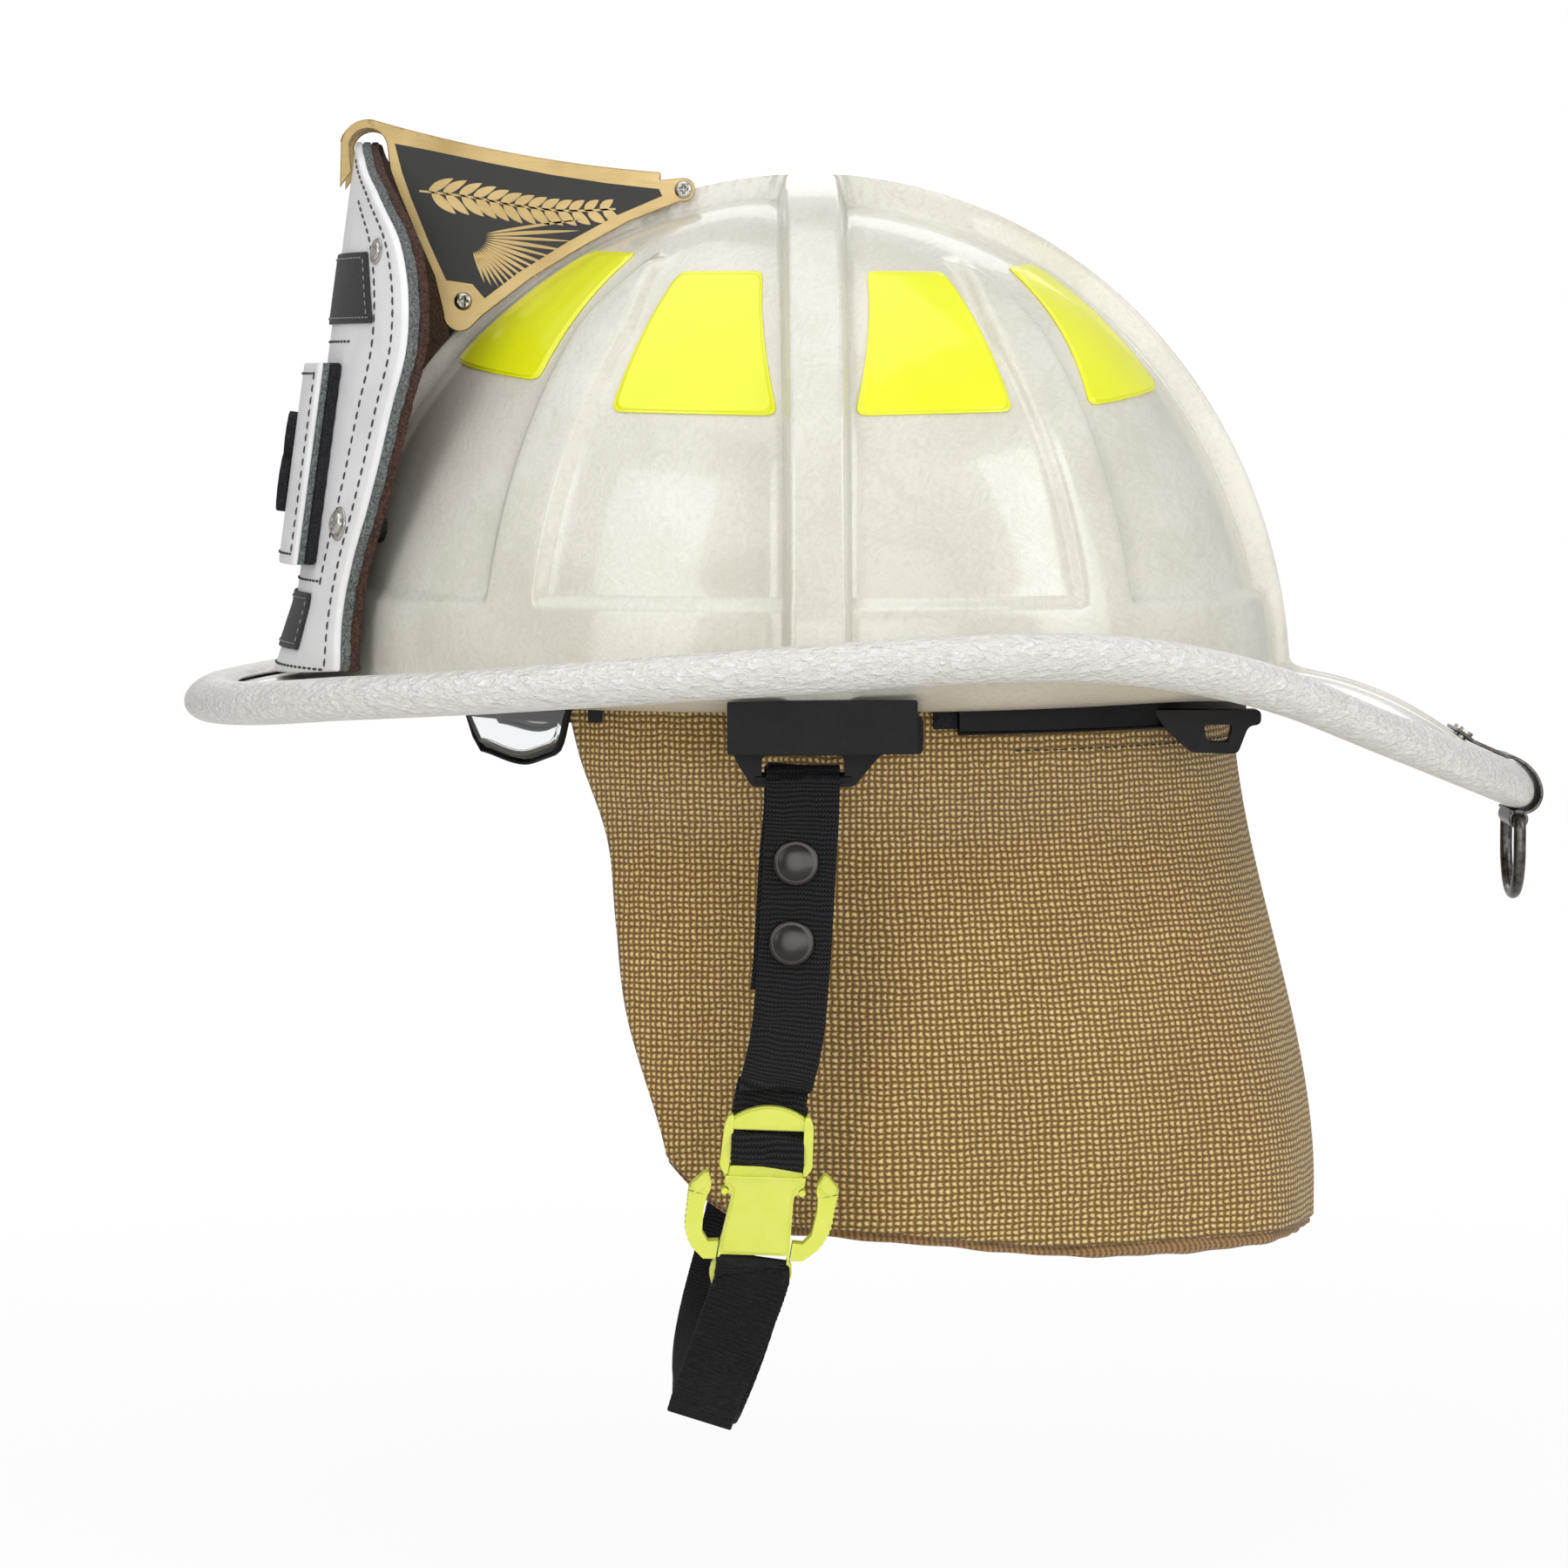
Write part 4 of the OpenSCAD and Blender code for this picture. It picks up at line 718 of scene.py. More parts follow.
def edge_wave(seed, size):
    return lambda z: leather_half(kz(z)) + size * math.sin(z * 0.9 + seed) * math.sin(z * 0.37 + 2 * seed)


layers = [
    ("leather_white_face", "leather_face", white_leather, "leather_white", edge_wave(0, 0), 0, 1.9),
    ("leather_grey_layer", "leather_middle", grey_leather, "leather_grey", edge_wave(1.3, 0.3), 1.92,
     4.38),
    ("leather_brown_back", "leather_backing", brown_leather, "leather_brown", edge_wave(4.1, 0.4), 4.4,
     6.6)]
for name, node, stuff, slot, half_at, near, far in layers:
    layer = piece_of(name, board(half_at, leather_foot, leather_top, near, far, 90, 0.4, 2.4, 40),
                     "helmet", stuff)
    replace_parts(layer, node)


# Stitches: waxed charcoal thread, 2.7 mm long and 3.5 mm apart, sunk a little into the leather.
def stitches(name, paths, material, length=2.7, pitch=3.5, thick=0.4, body="helmet"):
    joined = bmesh.new()
    for path in paths:
        points = [Vector(p) for p in path]
        walked, due = 0.0, pitch / 2
        for a, b in zip(points, points[1:]):
            span = (b - a).length
            while span and walked + span >= due:
                at = a.lerp(b, (due - walked) / span)
                stand = (b - a).normalized().to_track_quat("X", "Z").to_matrix().to_4x4()
                size = Matrix.Diagonal((length / 2 * MM, thick * MM, thick * MM, 1))
                shape = Matrix.Translation(at * MM) @ stand @ size
                bmesh.ops.create_uvsphere(joined, u_segments=6, v_segments=4, radius=1, matrix=shape)
                due += pitch
            walked += span
    return piece_of(name, joined, body, material)


thread, tree, shader, where = finish_of("waxed_thread_charcoal", "#3b3c3e", 0.6)
twist = add(tree, "TexWave", {"Vector": where, "Scale": 900, "Distortion": 1.0})
emboss(shader, twist.outputs["Color"], 0.3, 0.0001)
seams = []
for side in (1, -1):
    for inset, low, high in ((4, 9.5, 153), (13.5, 32, 141)):
        line = [(max(2, leather_half(kz(z)) - inset), z) for z in spread(low, high, 90)]
        seams.append([leather_pt(side * x, z, -0.08) for x, z in line])
seams.append([leather_pt(x, 9.2, -0.08) for x in spread(-52, 52, 60)])
for z in (33.5, 101):
    seams.append([leather_pt(x, z, -0.08) for x in spread(-41, 41, 50)])
stitches("leather_stitches", seams, thread)

# Name panels: thin black leather sewn flat on the face, bare on this helmet.
bare_panels = [("panel_upper", "name_panel_upper", lambda z: 55 - 9 * (z - 106) / 20, 106, 126),
               ("panel_lower", "name_panel_lower", lambda z: 36, 14, 30)]
for name, node, half_at, low, high in bare_panels:
    panel = piece_of(name, board(half_at, low, high, -1.05, -0.25, 10, 0.3), "helmet",
                     black_leather)
    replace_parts(panel, node)
borders = []
for low, high, w0, w1 in ((14, 30, 36, 36), (106, 126, 55, 46)):
    for z, w in ((low + 1.6, w0 - 1.8), (high - 1.6, w1 - 1.8)):
        borders.append([leather_pt(x, z, -1.15) for x in spread(-w, w, 50)])
    for side in (1, -1):
        line = [(w0 + (w1 - w0) * t - 1.8, low + (high - low) * t) for t in spread(0.1, 0.9, 12)]
        borders.append([leather_pt(side * x, z, -1.15) for x, z in line])
white_thread, tree, shader, where = finish_of("polyester_thread_grey", "#8d8f91", 0.7)
stitches("panel_stitches", borders, white_thread, 1.9, 2.6, 0.26)

# Number panel: white leather on a grey back, held to the face by black hook-and-loop tape.
# It lifts off with its tape and its numeral, a cut-out of black felted pile.
number_foot, number_w = 38.0, 37.0
number_top = number_foot + 57.0
pile = raw_leather("hook_and_loop_pile_black", "#0c0c0e", "#34353a", 1700, 1.0)
tape_board = board(lambda z: number_w - 0.2 + 0.25 * math.sin(z * 2.3), number_foot, number_top,
                   -3.1, -0.3, 30, 0.5)
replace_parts(piece_of("number_pile", tape_board, "number", pile), "number_tape")
back_board = board(lambda z: number_w, number_foot, number_top, -5.0, -3.35, 30, 0.35)
piece_of("number_back", back_board, "number", grey_leather)
face_board = board(lambda z: number_w, number_foot, number_top, -6.55, -5.02, 30, 0.5)
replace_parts(piece_of("number_face", face_board, "number", white_leather),
            "number_panel")
seams = [[leather_pt(side * 34.2, z, -6.62) for z in spread(41, 92, 40)] for side in (1, -1)]
seams += [[leather_pt(x, z, -6.62) for x in spread(-34, 34, 50)] for z in (41, 92)]
stitches("number_stitches", seams, thread, body="number")


def frayed(c, r, n, rough, seed):
    ring = []
    for i in range(n):
        t = 360 * i / n
        wild = math.sin(t * 0.31 + seed) * math.sin(t * 0.173 * 3 + 2 * seed)
        k = r + rough * (wild + 0.5 * math.sin(t * 1.7))
        ring.append((c[0] + k * deg_cos(t), c[1] + k * deg_sin(t)))
    return ring


loops = []
for c, r, hole, thick in (((0, -6), 8.4, 3.6, 2.7), ((0, 7.4), 7.0, 2.7, 2.5)):
    ring = [frayed(c, r, 90, 0.28, r), frayed(c, hole, 60, 0.25, hole)]
    loops.append(slab([[(x, y, 0) for x, y in line] for line in ring], (0, 0, thick)))
figure = merged(loops)
upright = Matrix.Rotation(math.radians(90 - math.degrees(math.atan(leather_lean))), 4, "X")
stand = Matrix.Translation(leather_pt(0, (number_foot + number_top) / 2, -6.65) * MM) @ upright
bmesh.ops.transform(figure, matrix=stand, verts=figure.verts)
eight = piece_of("numeral_eight", figure, "number", pile, smooth=False)
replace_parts(eight, "numeral")

# Visor: a clear polycarbonate shield, hard-coated, that swings down from between shell and
# cap. Its lower edge is bound in a thin black moulding that runs round the lobes at the ears.
pivot_y, pivot_z, visor_x, visor_r, lens_half = -5.0, 15.0, 95.5, 118.0, 60.0


def visor_pt(w, psi, off):
    return Vector(((visor_x + off) * deg_sin(w), pivot_y - (visor_r + off) * deg_cos(w) * deg_cos(psi),
                   pivot_z + (visor_r + off) * deg_cos(w) * deg_sin(psi)))


def lens_low(w):
    k = abs(w)
    return -3.4 - 14 * ease((k - 36.5) / 2.6) - 5 * ease((k - 38) / 10) + 14 * ease((k - 52) / 8)


clear, tree, shader, where = finish_of(
    "hard_coated_polycarbonate_clear", "#f4f7f7", 0.02, IOR=1.58, Transmission_Weight=1.0)
emboss(shader, noise(where, 18, 1), 0.05, 0.001)
rows = []
for v in [0.0] + spread(0, 1, 22) + [1.0]:
    thick = 0.0 if not rows or len(rows) == 24 else 1.1
    row = []
    for off, ends in ((thick, (-lens_half, lens_half)), (-thick, (lens_half, -lens_half))):
        row += [visor_pt(w, lens_low(w) * (1 - v) + 38 * v, off) for w in spread(*ends, 110)]
    rows.append(row + row[:1])
lens_piece = piece_of("visor_shield", sheet_of(rows), "visor", clear)
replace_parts(lens_piece, "visor_lens")

# Moulded nylon: satin black, with a fine spark-eroded grain, drawn at 0.7 mm so that it shows.
nylon, tree, shader, where = finish_of("glass_filled_nylon_black", "#0f1011", 0.44,
                                       Specular_IOR_Level=0.2)
grain = noise(where, 1500, 2)
scuff = noise(where, 90, 5, Roughness=0.7)
tint(shader, scuff, 0.4, "#0d0e0f", 0.75, "#18191b")
emboss(shader, grain, 0.15, 0.0002)

# The edge moulding is a thin oval bead swept along the lens's lower edge and up its ends.
path = [visor_pt(w, lens_low(w), 0) for w in spread(-lens_half, lens_half, 150)]
rows = []
for i, p in enumerate(path):
    t = (path[min(i + 1, 150)] - path[max(i - 1, 0)]).normalized()
    o = Vector((p.x, p.y - pivot_y, p.z - pivot_z)).normalized()
    u = o.cross(t).normalized()
    rows.append([p + o * 1.35 * deg_cos(a) + u * 0.75 * deg_sin(a) for a in spread(0, 360, 12)])
piece_of("visor_edge", sheet_of(rows, capped=True), "visor", nylon)

# Chin-strap hangers: nylon plates screwed up under the brim, each with a loop and a round
# bar for the webbing. The left one faces the camera.
bar_x, bar_y, bar_z, loop_half = 110.0, -4.0, -17.5, 11.2


def rounded(points, r, n=5):
    made = []
    for i, p in enumerate(points):
        p, a, b = Vector(p), Vector(points[i - 1]), Vector(points[(i + 1) % len(points)])
        cut = min(r, (a - p).length * 0.45, (b - p).length * 0.45)
        a, b = p + (a - p).normalized() * cut, p + (b - p).normalized() * cut
        made += [tuple(a.lerp(p, t).lerp(p.lerp(b, t), t)) for t in spread(0, 1, n)]
    return made


def capped_rod(a, b, r, sides=20):
    a, b = Vector(a), Vector(b)
    faced = (b - a).to_track_quat("Z", "Y").to_matrix().to_4x4()
    stand = Matrix.Translation((a + b) / 2 * MM) @ faced
    rod = bmesh.new()
    bmesh.ops.create_cone(rod, cap_ends=True, segments=sides, radius1=r * MM, radius2=r * MM,
                          depth=(b - a).length * MM, matrix=stand)
    soften(rod, 0.25)
    return rod


def flip_x(part):
    bmesh.ops.scale(part, vec=(-1, 1, 1), verts=part.verts)
    bmesh.ops.reverse_faces(part, faces=part.faces)


plate_line = rounded([(-23, -0.4), (28.5, -0.4), (28.5, -10.6), (17, -10.6), (9.8, -19.5),
                      (-17.8, -19.5), (-21.5, -13.5), (-23, -10.6)], 1.6)
window = rounded([(-15.2, -10.9), (7.2, -10.9), (7.2, -17.6), (-15.2, -17.6)], 1.8)
for side in (1, -1):
    front_plate = side_plate(plate_line, bar_x - 1.7, 3.4, 0.55, windows=[window], segments=3)
    rib = side_plate(rounded([(-22, -5.4), (27.5, -5.4), (27.5, -9.9), (-22, -9.9)], 0.8), bar_x + 1.6,
                     0.55, 0.4)
    bar = capped_rod((bar_x, bar_y - loop_half - 2, bar_z), (bar_x, bar_y + loop_half + 2, bar_z), 2.0)
    post = capped_rod((bar_x - 1, 15.5, -1.6), (bar_x + 1.9, 15.5, -1.6), 1.15)
    shelf, apron_foot = bmesh.new(), bmesh.new()
    for block, middle, size in ((shelf, (102.2, 2.75, -2.9), (12.4, 51, 3.4)),
                                (apron_foot, (118.4, 1.1, -8.4), (14, 48.5, 2.2))):
        place = Matrix.Translation(Vector(middle) * MM)
        bmesh.ops.create_cube(block, size=MM, matrix=place @ Matrix.Diagonal((*size, 1)))
    soften(shelf, 0.5, edges=list(shelf.edges))
    apron = side_plate(rounded([(-24.6, 4.4), (26.4, 4.9), (26.4, -9.6), (-24.6, -9.6)][::-1], 0.7),
                       124.6, 2.4, 0.5)
    whole = merged([front_plate, rib, bar, post, shelf, apron, apron_foot])
    if side < 0:
        flip_x(whole)
    name = "hanger_left" if side > 0 else "hanger_right"
    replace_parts(piece_of(name + "_moulding", whole, "helmet", nylon, smooth=False),
                name)

# Small hardware: nickel-plated steel screws with cross recesses, pop rivets, and the plain
# pins, nuts and screws out of sight, which keep their own shapes and get a finish.
plated, tree, shader, where = finish_of("nickel_plated_steel", "#b9b6ae", 0.24, Metallic=1.0)
# Handling marks: a soft change of gloss over 2 mm, and a little brown in patches.
rubs = noise(where, 500, 3)
feed(shader, {"Roughness": ranged(rubs, to=(0.14, 0.42))})
tint(shader, rubs, 0.3, "#9c958a", 0.55, "#c6c4be")


def stand_on(place, out):
    faced = Vector(out).to_track_quat("Z", "Y").to_matrix().to_4x4()
    return Matrix.Translation(Vector(place) * MM) @ faced


recess_depth = 1.2


# A turned head: rings of 24 points up a profile, with an optional cross recess at its middle.
def turned_head(place, out, profile, recess=0.0):
    circle = [(deg_cos(t), deg_sin(t)) for t in spread(0, 345, 23)]
    rings = [[Vector((0, 0, profile[0][1]))] * 24]
    rings += [[Vector((r * x, r * y, z)) for x, y in circle] for r, z in profile]
    top = profile[-1][1]
    if recess:
        wide = recess * 0.27
        arm = [(recess, 0), (recess, wide), ((recess + wide) / 2, wide), (wide, wide),
               (wide, (recess + wide) / 2), (wide, recess)]
        cross = arm + [(-y, x) for x, y in arm] + [(-x, -y) for x, y in arm] + [(y, -x) for x, y in arm]
        rings.append([Vector((x, y, top + 0.02)) for x, y in cross])
        rings.append([Vector((x * 0.7, y * 0.7, top - recess_depth)) for x, y in cross])
        top -= recess_depth * 1.15
    rings.append([Vector((0, 0, top))] * 24)
    head = sheet_of([ring + ring[:1] for ring in rings])
    bmesh.ops.transform(head, matrix=stand_on(place, out), verts=head.verts)
    return head


def pan(d, rise):
    return [(d * 0.47, 0), (d * 0.5, rise * 0.12), (d * 0.5, rise * 0.4), (d * 0.47, rise * 0.68),
            (d * 0.4, rise * 0.88), (d * 0.32, rise)]


heads = []
for side in (1, -1):
    for y, z in (front_screw, rear_screw):
        heads.append(turned_head((side * (holder_out - 0.1), y, z), (side, 0, 0),
                                 pan(5.2, 1.9), 1.6))
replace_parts(piece_of("holder_screw_heads", merged(heads), "helmet", plated), "holder_screws")
rivets, screws = [], []
for side in (1, -1):
    for made, (x, z), d, rise, recess in ((rivets, (51, 126), 5.4, 1.2, 0),
                                          (screws, (49.5, 50), 7.0, 2.0, 2.0)):
        here = leather_pt(side * x, z, 0)
        across = leather_pt(side * x + 0.5, z, 0) - leather_pt(side * x - 0.5, z, 0)
        up = leather_pt(side * x, z + 0.5, 0) - leather_pt(side * x, z - 0.5, 0)
        out = up.cross(across).normalized()
        out = out if out.y < 0 else -out
        made.append(turned_head(here + out * 0.05, out, pan(d, rise), recess))
        washer = [(d * 0.66, 0), (d * 0.7, 0.2), (d * 0.66, 0.5), (d * 0.5, 0.55)]
        made.append(turned_head(here, out, washer))
        made.append(capped_rod(here + out * 0.1, here - out * 6.5, 1.2 if made is rivets else 1.5, 12))
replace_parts(piece_of("leather_rivet_heads", merged(rivets), "helmet", plated), "front_rivets")
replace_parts(piece_of("leather_screw_heads", merged(screws), "helmet", plated), "front_screws")


def finish_nodes(material, *names):
    for name in names:
        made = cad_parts[name]
        if not made.material_slots:
            made.data.materials.append(material)
        for held in made.material_slots:
            held.material = material


finish_nodes(plated, "hanger_screws", "visor_pivots", "bracket_rivets")
finish_nodes(nylon, "holder_bracket", "barrel_nuts", "visor_arms", "visor_tabs", "strap_keys")

# Curtain rail: an extruded nylon strip fixed round the inside of the shell's rear edge, with a
# turned lower lip. Two clips on it hold a loop each for a stowed helmet light.
rail_out, rail_rear = half_w - inner_depth - 1.4, rear - inner_depth - 1.4


def rail_pt(t, inward, z):
    return Vector(((rail_out - inward) * deg_cos(t), (rail_rear - inward) * deg_sin(t), z))


# A profile swept round the rail's arc between two angles, both ends drawn in to a middle point.
def rail_rows(profile, middle, low, high, steps):
    ends = [[rail_pt(t, *middle)] * len(profile) for t in (low, high)]
    rows = [[rail_pt(t, d, z) for d, z in profile] for t in spread(low, high, steps)]
    return ends[:1] + rows + ends[1:]


profile = [(0.3, 6.5), (0, 6.2), (0, -5.6), (-0.5, -6.0), (-0.5, -6.45), (0, -6.6), (1.7, -6.6),
           (2, -6.3), (2, 6.2), (1.7, 6.5), (0.3, 6.5)]
middle = (1, sum(z for d, z in profile) / len(profile))
rail_strip = sheet_of(rail_rows(profile, middle, 18, 162, 120))
rail = piece_of("rail_extrusion", rail_strip, "helmet", nylon, smooth=False)
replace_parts(rail, "curtain_rail")

clips = []
for side in (1, -1):
    outer = rounded([(94, -1.5), (124.5, -1.5), (124.5, -5.6), (121, -6), (118, -13.8), (105, -13.4),
                     (98, -7)], 1.6)
    hole = rounded([(108.5, -5.6), (116.6, -5.6), (115.6, -10.6), (109.5, -10.4)], 1.2)
    clip = side_plate(outer, 58.4, 7.6, 0.7, windows=[hole], segments=3)
    if side < 0:
        flip_x(clip)
    clips.append(clip)
clip_pair = piece_of("light_clips", merged(clips), "helmet", nylon, smooth=False)
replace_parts(clip_pair, "rear_clips")

# Neck curtain: an outer layer of basket-woven aramid and a knitted lining, sewn together along
# the top and held to the rail by hook-and-loop tape. Both hang in three soft folds.
cloth_t, lining_t, curtain_in, curtain_top = 1.6, 1.8, 4.3, 5.0
curtain_drop, front_reach, tuck, hang_waist, fold_depth = 146.0, 125.0, 6.0, 20.5, 1.6
hem_front = [(a, 0, 0) for a in (-33.5, -31.5, -27.6, -26.4, -24.8, -19.5)]


def hang_side(z):
    return rail_out - curtain_in - hang_waist * ease((-10 - z) / 34) - 2 * ease((-60 - z) / 90)


def hang_rear(z):
    return rail_rear - curtain_in + 26 * ease((curtain_top - z) / 150)


def hem_z(a):
    return -curtain_drop - 6.8 * ease(a / 32) + 8 * (max(0, -a - 4) / 10) ** 2


def hang_pt(u, v, inward, lower=0.0):
    e = along(hem_front, 5 * min(1, v)).x
    a = e + (180 - 2 * e) * u
    z = curtain_top * (1 - v) + hem_z(min(a, 180 - a)) * v
    w = fold_depth * v * (deg_sin(a * 7 + 20) + 0.5 * deg_sin(a * 13)) - inward
    y = ((front_reach if deg_sin(a) < 0 else hang_rear(z)) + w) * deg_sin(a)
    return Vector(((hang_side(z) - tuck * ease((20 - y) / 40) + w) * deg_cos(a), y, z - lower))


# The weave's threads run level and upright, so the cloth carries its own measured map: how far
# a point is round the curtain at mid-height, and how far down, both in millimetres.
girth, girth_steps, round_from, round_by = [0.0], 400, -33.5, 247
for u, u2 in zip(spread(0, 1, girth_steps), spread(0, 1, girth_steps)[1:]):
    girth.append(girth[-1] + (hang_pt(u, 0.5, 0) - hang_pt(u2, 0.5, 0)).length)


def lay_map(grid):
    layer = grid.loops.layers.uv.new("threads")
    grid.verts.ensure_lookup_table()
    for face in grid.faces:
        for loop in face.loops:
            x, y, z = loop.vert.co / MM
            a = math.degrees(math.atan2(y / (front_reach if y < 0 else hang_rear(z)), x / hang_side(z)))
            a = a + 360 if a < -90 else a
            at = max(0.0, min(girth_steps - 0.001, (a - round_from) / round_by * girth_steps))
            i = int(at)
            loop[layer].uv = (girth[i] + (girth[i + 1] - girth[i]) * (at - i), z)


def closed(rows):
    first, last = ([sum(row[:-1], Vector()) / (len(row) - 1)] * len(row) for row in (rows[0], rows[-1]))
    return [first] + rows + [last]


def hung(inward, thick, across, down, low=0.0):
    rows = []
    for v in [0.0] + spread(0, 1, down) + [1.0]:
        half = 0.0 if not rows or len(rows) == down + 2 else thick / 2
        row = []
        for face, (a, b) in ((-half, (0, 1)), (half, (1, 0))):
            row += [hang_pt(u, v, inward + thick / 2 + face, low * v) for u in spread(a, b, across)]
        rows.append(row + row[:1])
    return sheet_of(rows)


knot_pitch = 1.77
weave, tree, shader, where = finish_of("aramid_basket_weave_tan", "#a07f45", 0.88, Sheen_Weight=0.25,
                                       Sheen_Roughness=0.5)
threads = add(tree, "UVMap", uv_map="threads")
# Real pitch: 1.77 mm a knot both ways. Each knot is a raised float, and its colour follows its height: a
# painted highlight on the float and painted shade in the gap round it. The lattice is bent by noise so that
# no row runs dead straight.
wander = noise(threads, 0.16, 2)
near = noise(threads, 0.9, 1)
sway = calc("MULTIPLY", wander.outputs["Color"], (1.6, 1.6, 0), kind="VectorMath")
jog = calc("MULTIPLY", near.outputs["Color"], (0.5, 0.5, 0), kind="VectorMath")
moved = calc("ADD", threads, sway, kind="VectorMath")
moved = calc("ADD", moved, jog, kind="VectorMath")
cell = calc("MULTIPLY", moved, (math.tau / knot_pitch, math.tau / knot_pitch, 0), kind="VectorMath")
axes = add(tree, "SeparateXYZ", {"Vector": cell})
down_wave = calc("COSINE", axes.outputs["Y"])
skew = calc("MULTIPLY_ADD", down_wave, 0.7, axes.outputs["X"])
over_wave = calc("COSINE", skew)
high_y = ranged(down_wave, -1.0, 1.0)
high_x = ranged(over_wave, -1.0, 1.0)
knot = calc("MULTIPLY", high_x, high_y)
hair = noise(where, 2600, 2)
knot_height_and_painted_light = calc("MULTIPLY_ADD", hair, 0.35, knot)
# This ramp paints light by height: its near-white top is a painted highlight on the knots, its dark end
# painted shade in the gaps.
ramp = ramp_of(knot_height_and_painted_light, 0.14, "#664a24", 0.84, "#fbe3a2")
middle = ramp.color_ramp.elements.new(0.5)
middle.color = linear("#c39c56")
drift = noise(where, 16, 2)
shade = ranged(drift, 0.35, 0.65, to=(0.92, 1.05))
toned = add(tree, "Mix", {0: 1.0, "A": ramp.outputs["Color"], "B": shade}, data_type="RGBA",
            blend_type="MULTIPLY")
feed(shader, {"Base Color": toned.outputs["Result"]})
emboss(shader, knot_height_and_painted_light, 0.9, 0.0006)
cloth = hung(0, cloth_t, 230, 90)
lay_map(cloth)
outer_cloth = piece_of("curtain_weave", cloth, "helmet", weave)
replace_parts(outer_cloth, "curtain_outer")

# Lining: knitted cloth in vertical ribs. It hangs 1.2 mm lower than the weave, and its raw edge
# rolls outwards under the hem, most at the rear corners.
knit, tree, shader, where = finish_of("knitted_lining_tan", "#9d7744", 0.95, Sheen_Weight=0.4,
                                      Sheen_Roughness=0.5)
threads = add(tree, "UVMap", uv_map="threads")
axes = add(tree, "SeparateXYZ", {"Vector": threads})
# Ribs 1.5 mm apart with loops 1.1 mm tall, softened by loose hairs.
knit_rib, knit_loop = 1.5, 1.1
rib_at = calc("MULTIPLY", axes.outputs["X"], math.tau / knit_rib)
rib_wave = calc("COSINE", rib_at)
loops = calc("MULTIPLY", axes.outputs["Y"], math.tau / knit_loop)
loops = calc("MULTIPLY_ADD", rib_wave, 1.4, loops)
loop_wave = calc("COSINE", loops)
mesh_h = calc("MULTIPLY_ADD", loop_wave, 0.35, rib_wave)
hairs = noise(where, 1900, 4, Roughness=0.7)
mesh_h = calc("MULTIPLY_ADD", hairs, 1.6, mesh_h)
tint(shader, ranged(mesh_h, -0.8, 2.4), 0.1, "#6f5230", 0.85, "#b98f5a")
emboss(shader, mesh_h, 0.6, 0.0004)
cloth = hung(cloth_t + 0.3, lining_t, 150, 60, 1.2)
lay_map(cloth)
lining = piece_of("curtain_knit_lining", cloth, "helmet", knit)
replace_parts(lining, "curtain_lining")
rows = []
for u in spread(0, 1, 260):
    here = hang_pt(u, 1, cloth_t + 0.3, 1.6)
    nearby = [hang_pt(k, 1, cloth_t + 0.3, 1.6) for k in (max(0, u - 0.003), min(1, u + 0.003))]
    ahead = (nearby[1] - nearby[0]).normalized()
    out = ahead.cross(Vector((0, 0, 1))).normalized()
    plump = 1.25 + 1.7 * ease(1 - abs(abs(u - 0.5) - 0.2) / 0.12)
    plump += 0.35 * math.sin(u * 150) * math.sin(u * 47)
    plump *= min(1, 12 * u + 0.3, 12 * (1 - u) + 0.3)
    row = []
    for t in spread(-200, 130, 22):
        reach_t = plump * (1 - 0.1 * deg_sin(3 * t))
        rise = Vector((0, 0, reach_t * 0.9 * deg_sin(t) - 0.2))
        row.append(here + out * (reach_t * deg_cos(t) - 0.7) + rise)
    rows.append(row + row[:1])
roll = sheet_of(closed(rows))
lay_map(roll)
roll_piece = piece_of("curtain_rolled_edge", roll, "helmet", knit)

# Hook-and-loop binding, a closed black strip between the rail and the cloth that runs round
# the shell's rear, and the dark thread of the curtain's top seam.
profile = [(2.3, -4.6), (2.3, 5.6), (2.6, 6), (3.2, 6), (3.5, 5.6), (3.5, -4.6), (3.2, -5), (2.6, -5),
           (2.3, -4.6)]
binding = sheet_of(rail_rows(profile, (2.9, 0.5), 15, 165, 110))
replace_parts(piece_of("curtain_hook_tape", binding, "helmet", pile), "curtain_binding")
seam_v = (curtain_top + 11.5) / (curtain_top - hem_z(90))
seam = [[hang_pt(u, seam_v, -0.1) for u in spread(0.24, 0.76, 260)]]
stitches("curtain_seam", seam, thread, 2.2, 2.9, 0.3)

# Webbing: 20 mm black polyester tape, woven with ribs across it 1.3 mm apart. A ribbon follows
# a path with its width along a given side, its edges scalloped where the weft turns back.
web_rib = 1.3
webbing, tree, shader, where = finish_of("polyester_webbing_black", "#1b1c1f", 0.8,
                                         Specular_IOR_Level=0.25, Sheen_Weight=0.04,
                                         Sheen_Roughness=0.4)
threads = add(tree, "UVMap", uv_map="threads")
wander = noise(threads, 0.12, 1)
sway = calc("MULTIPLY", wander.outputs["Color"], (1.2, 2.2, 0), kind="VectorMath")
moved = calc("ADD", threads, sway, kind="VectorMath")
axes = add(tree, "SeparateXYZ", {"Vector": moved})
# Warp ends 0.9 mm apart lie in pairs over each rib, so the ribs look beaded from close by.
rib_at = calc("MULTIPLY", axes.outputs["Y"], math.tau / web_rib)
end_at = calc("MULTIPLY", axes.outputs["X"], math.tau / 0.9)
end_wave = calc("COSINE", end_at)
rib_at = calc("MULTIPLY_ADD", end_wave, 0.9, rib_at)
rib_wave = calc("COSINE", rib_at)
weft = calc("MULTIPLY_ADD", end_wave, 0.4, rib_wave)
tint(shader, ranged(weft, -1.2, 1.3), 0.25, "#030304", 0.95, "#34353a")
emboss(shader, weft, 1.0, 0.0006)


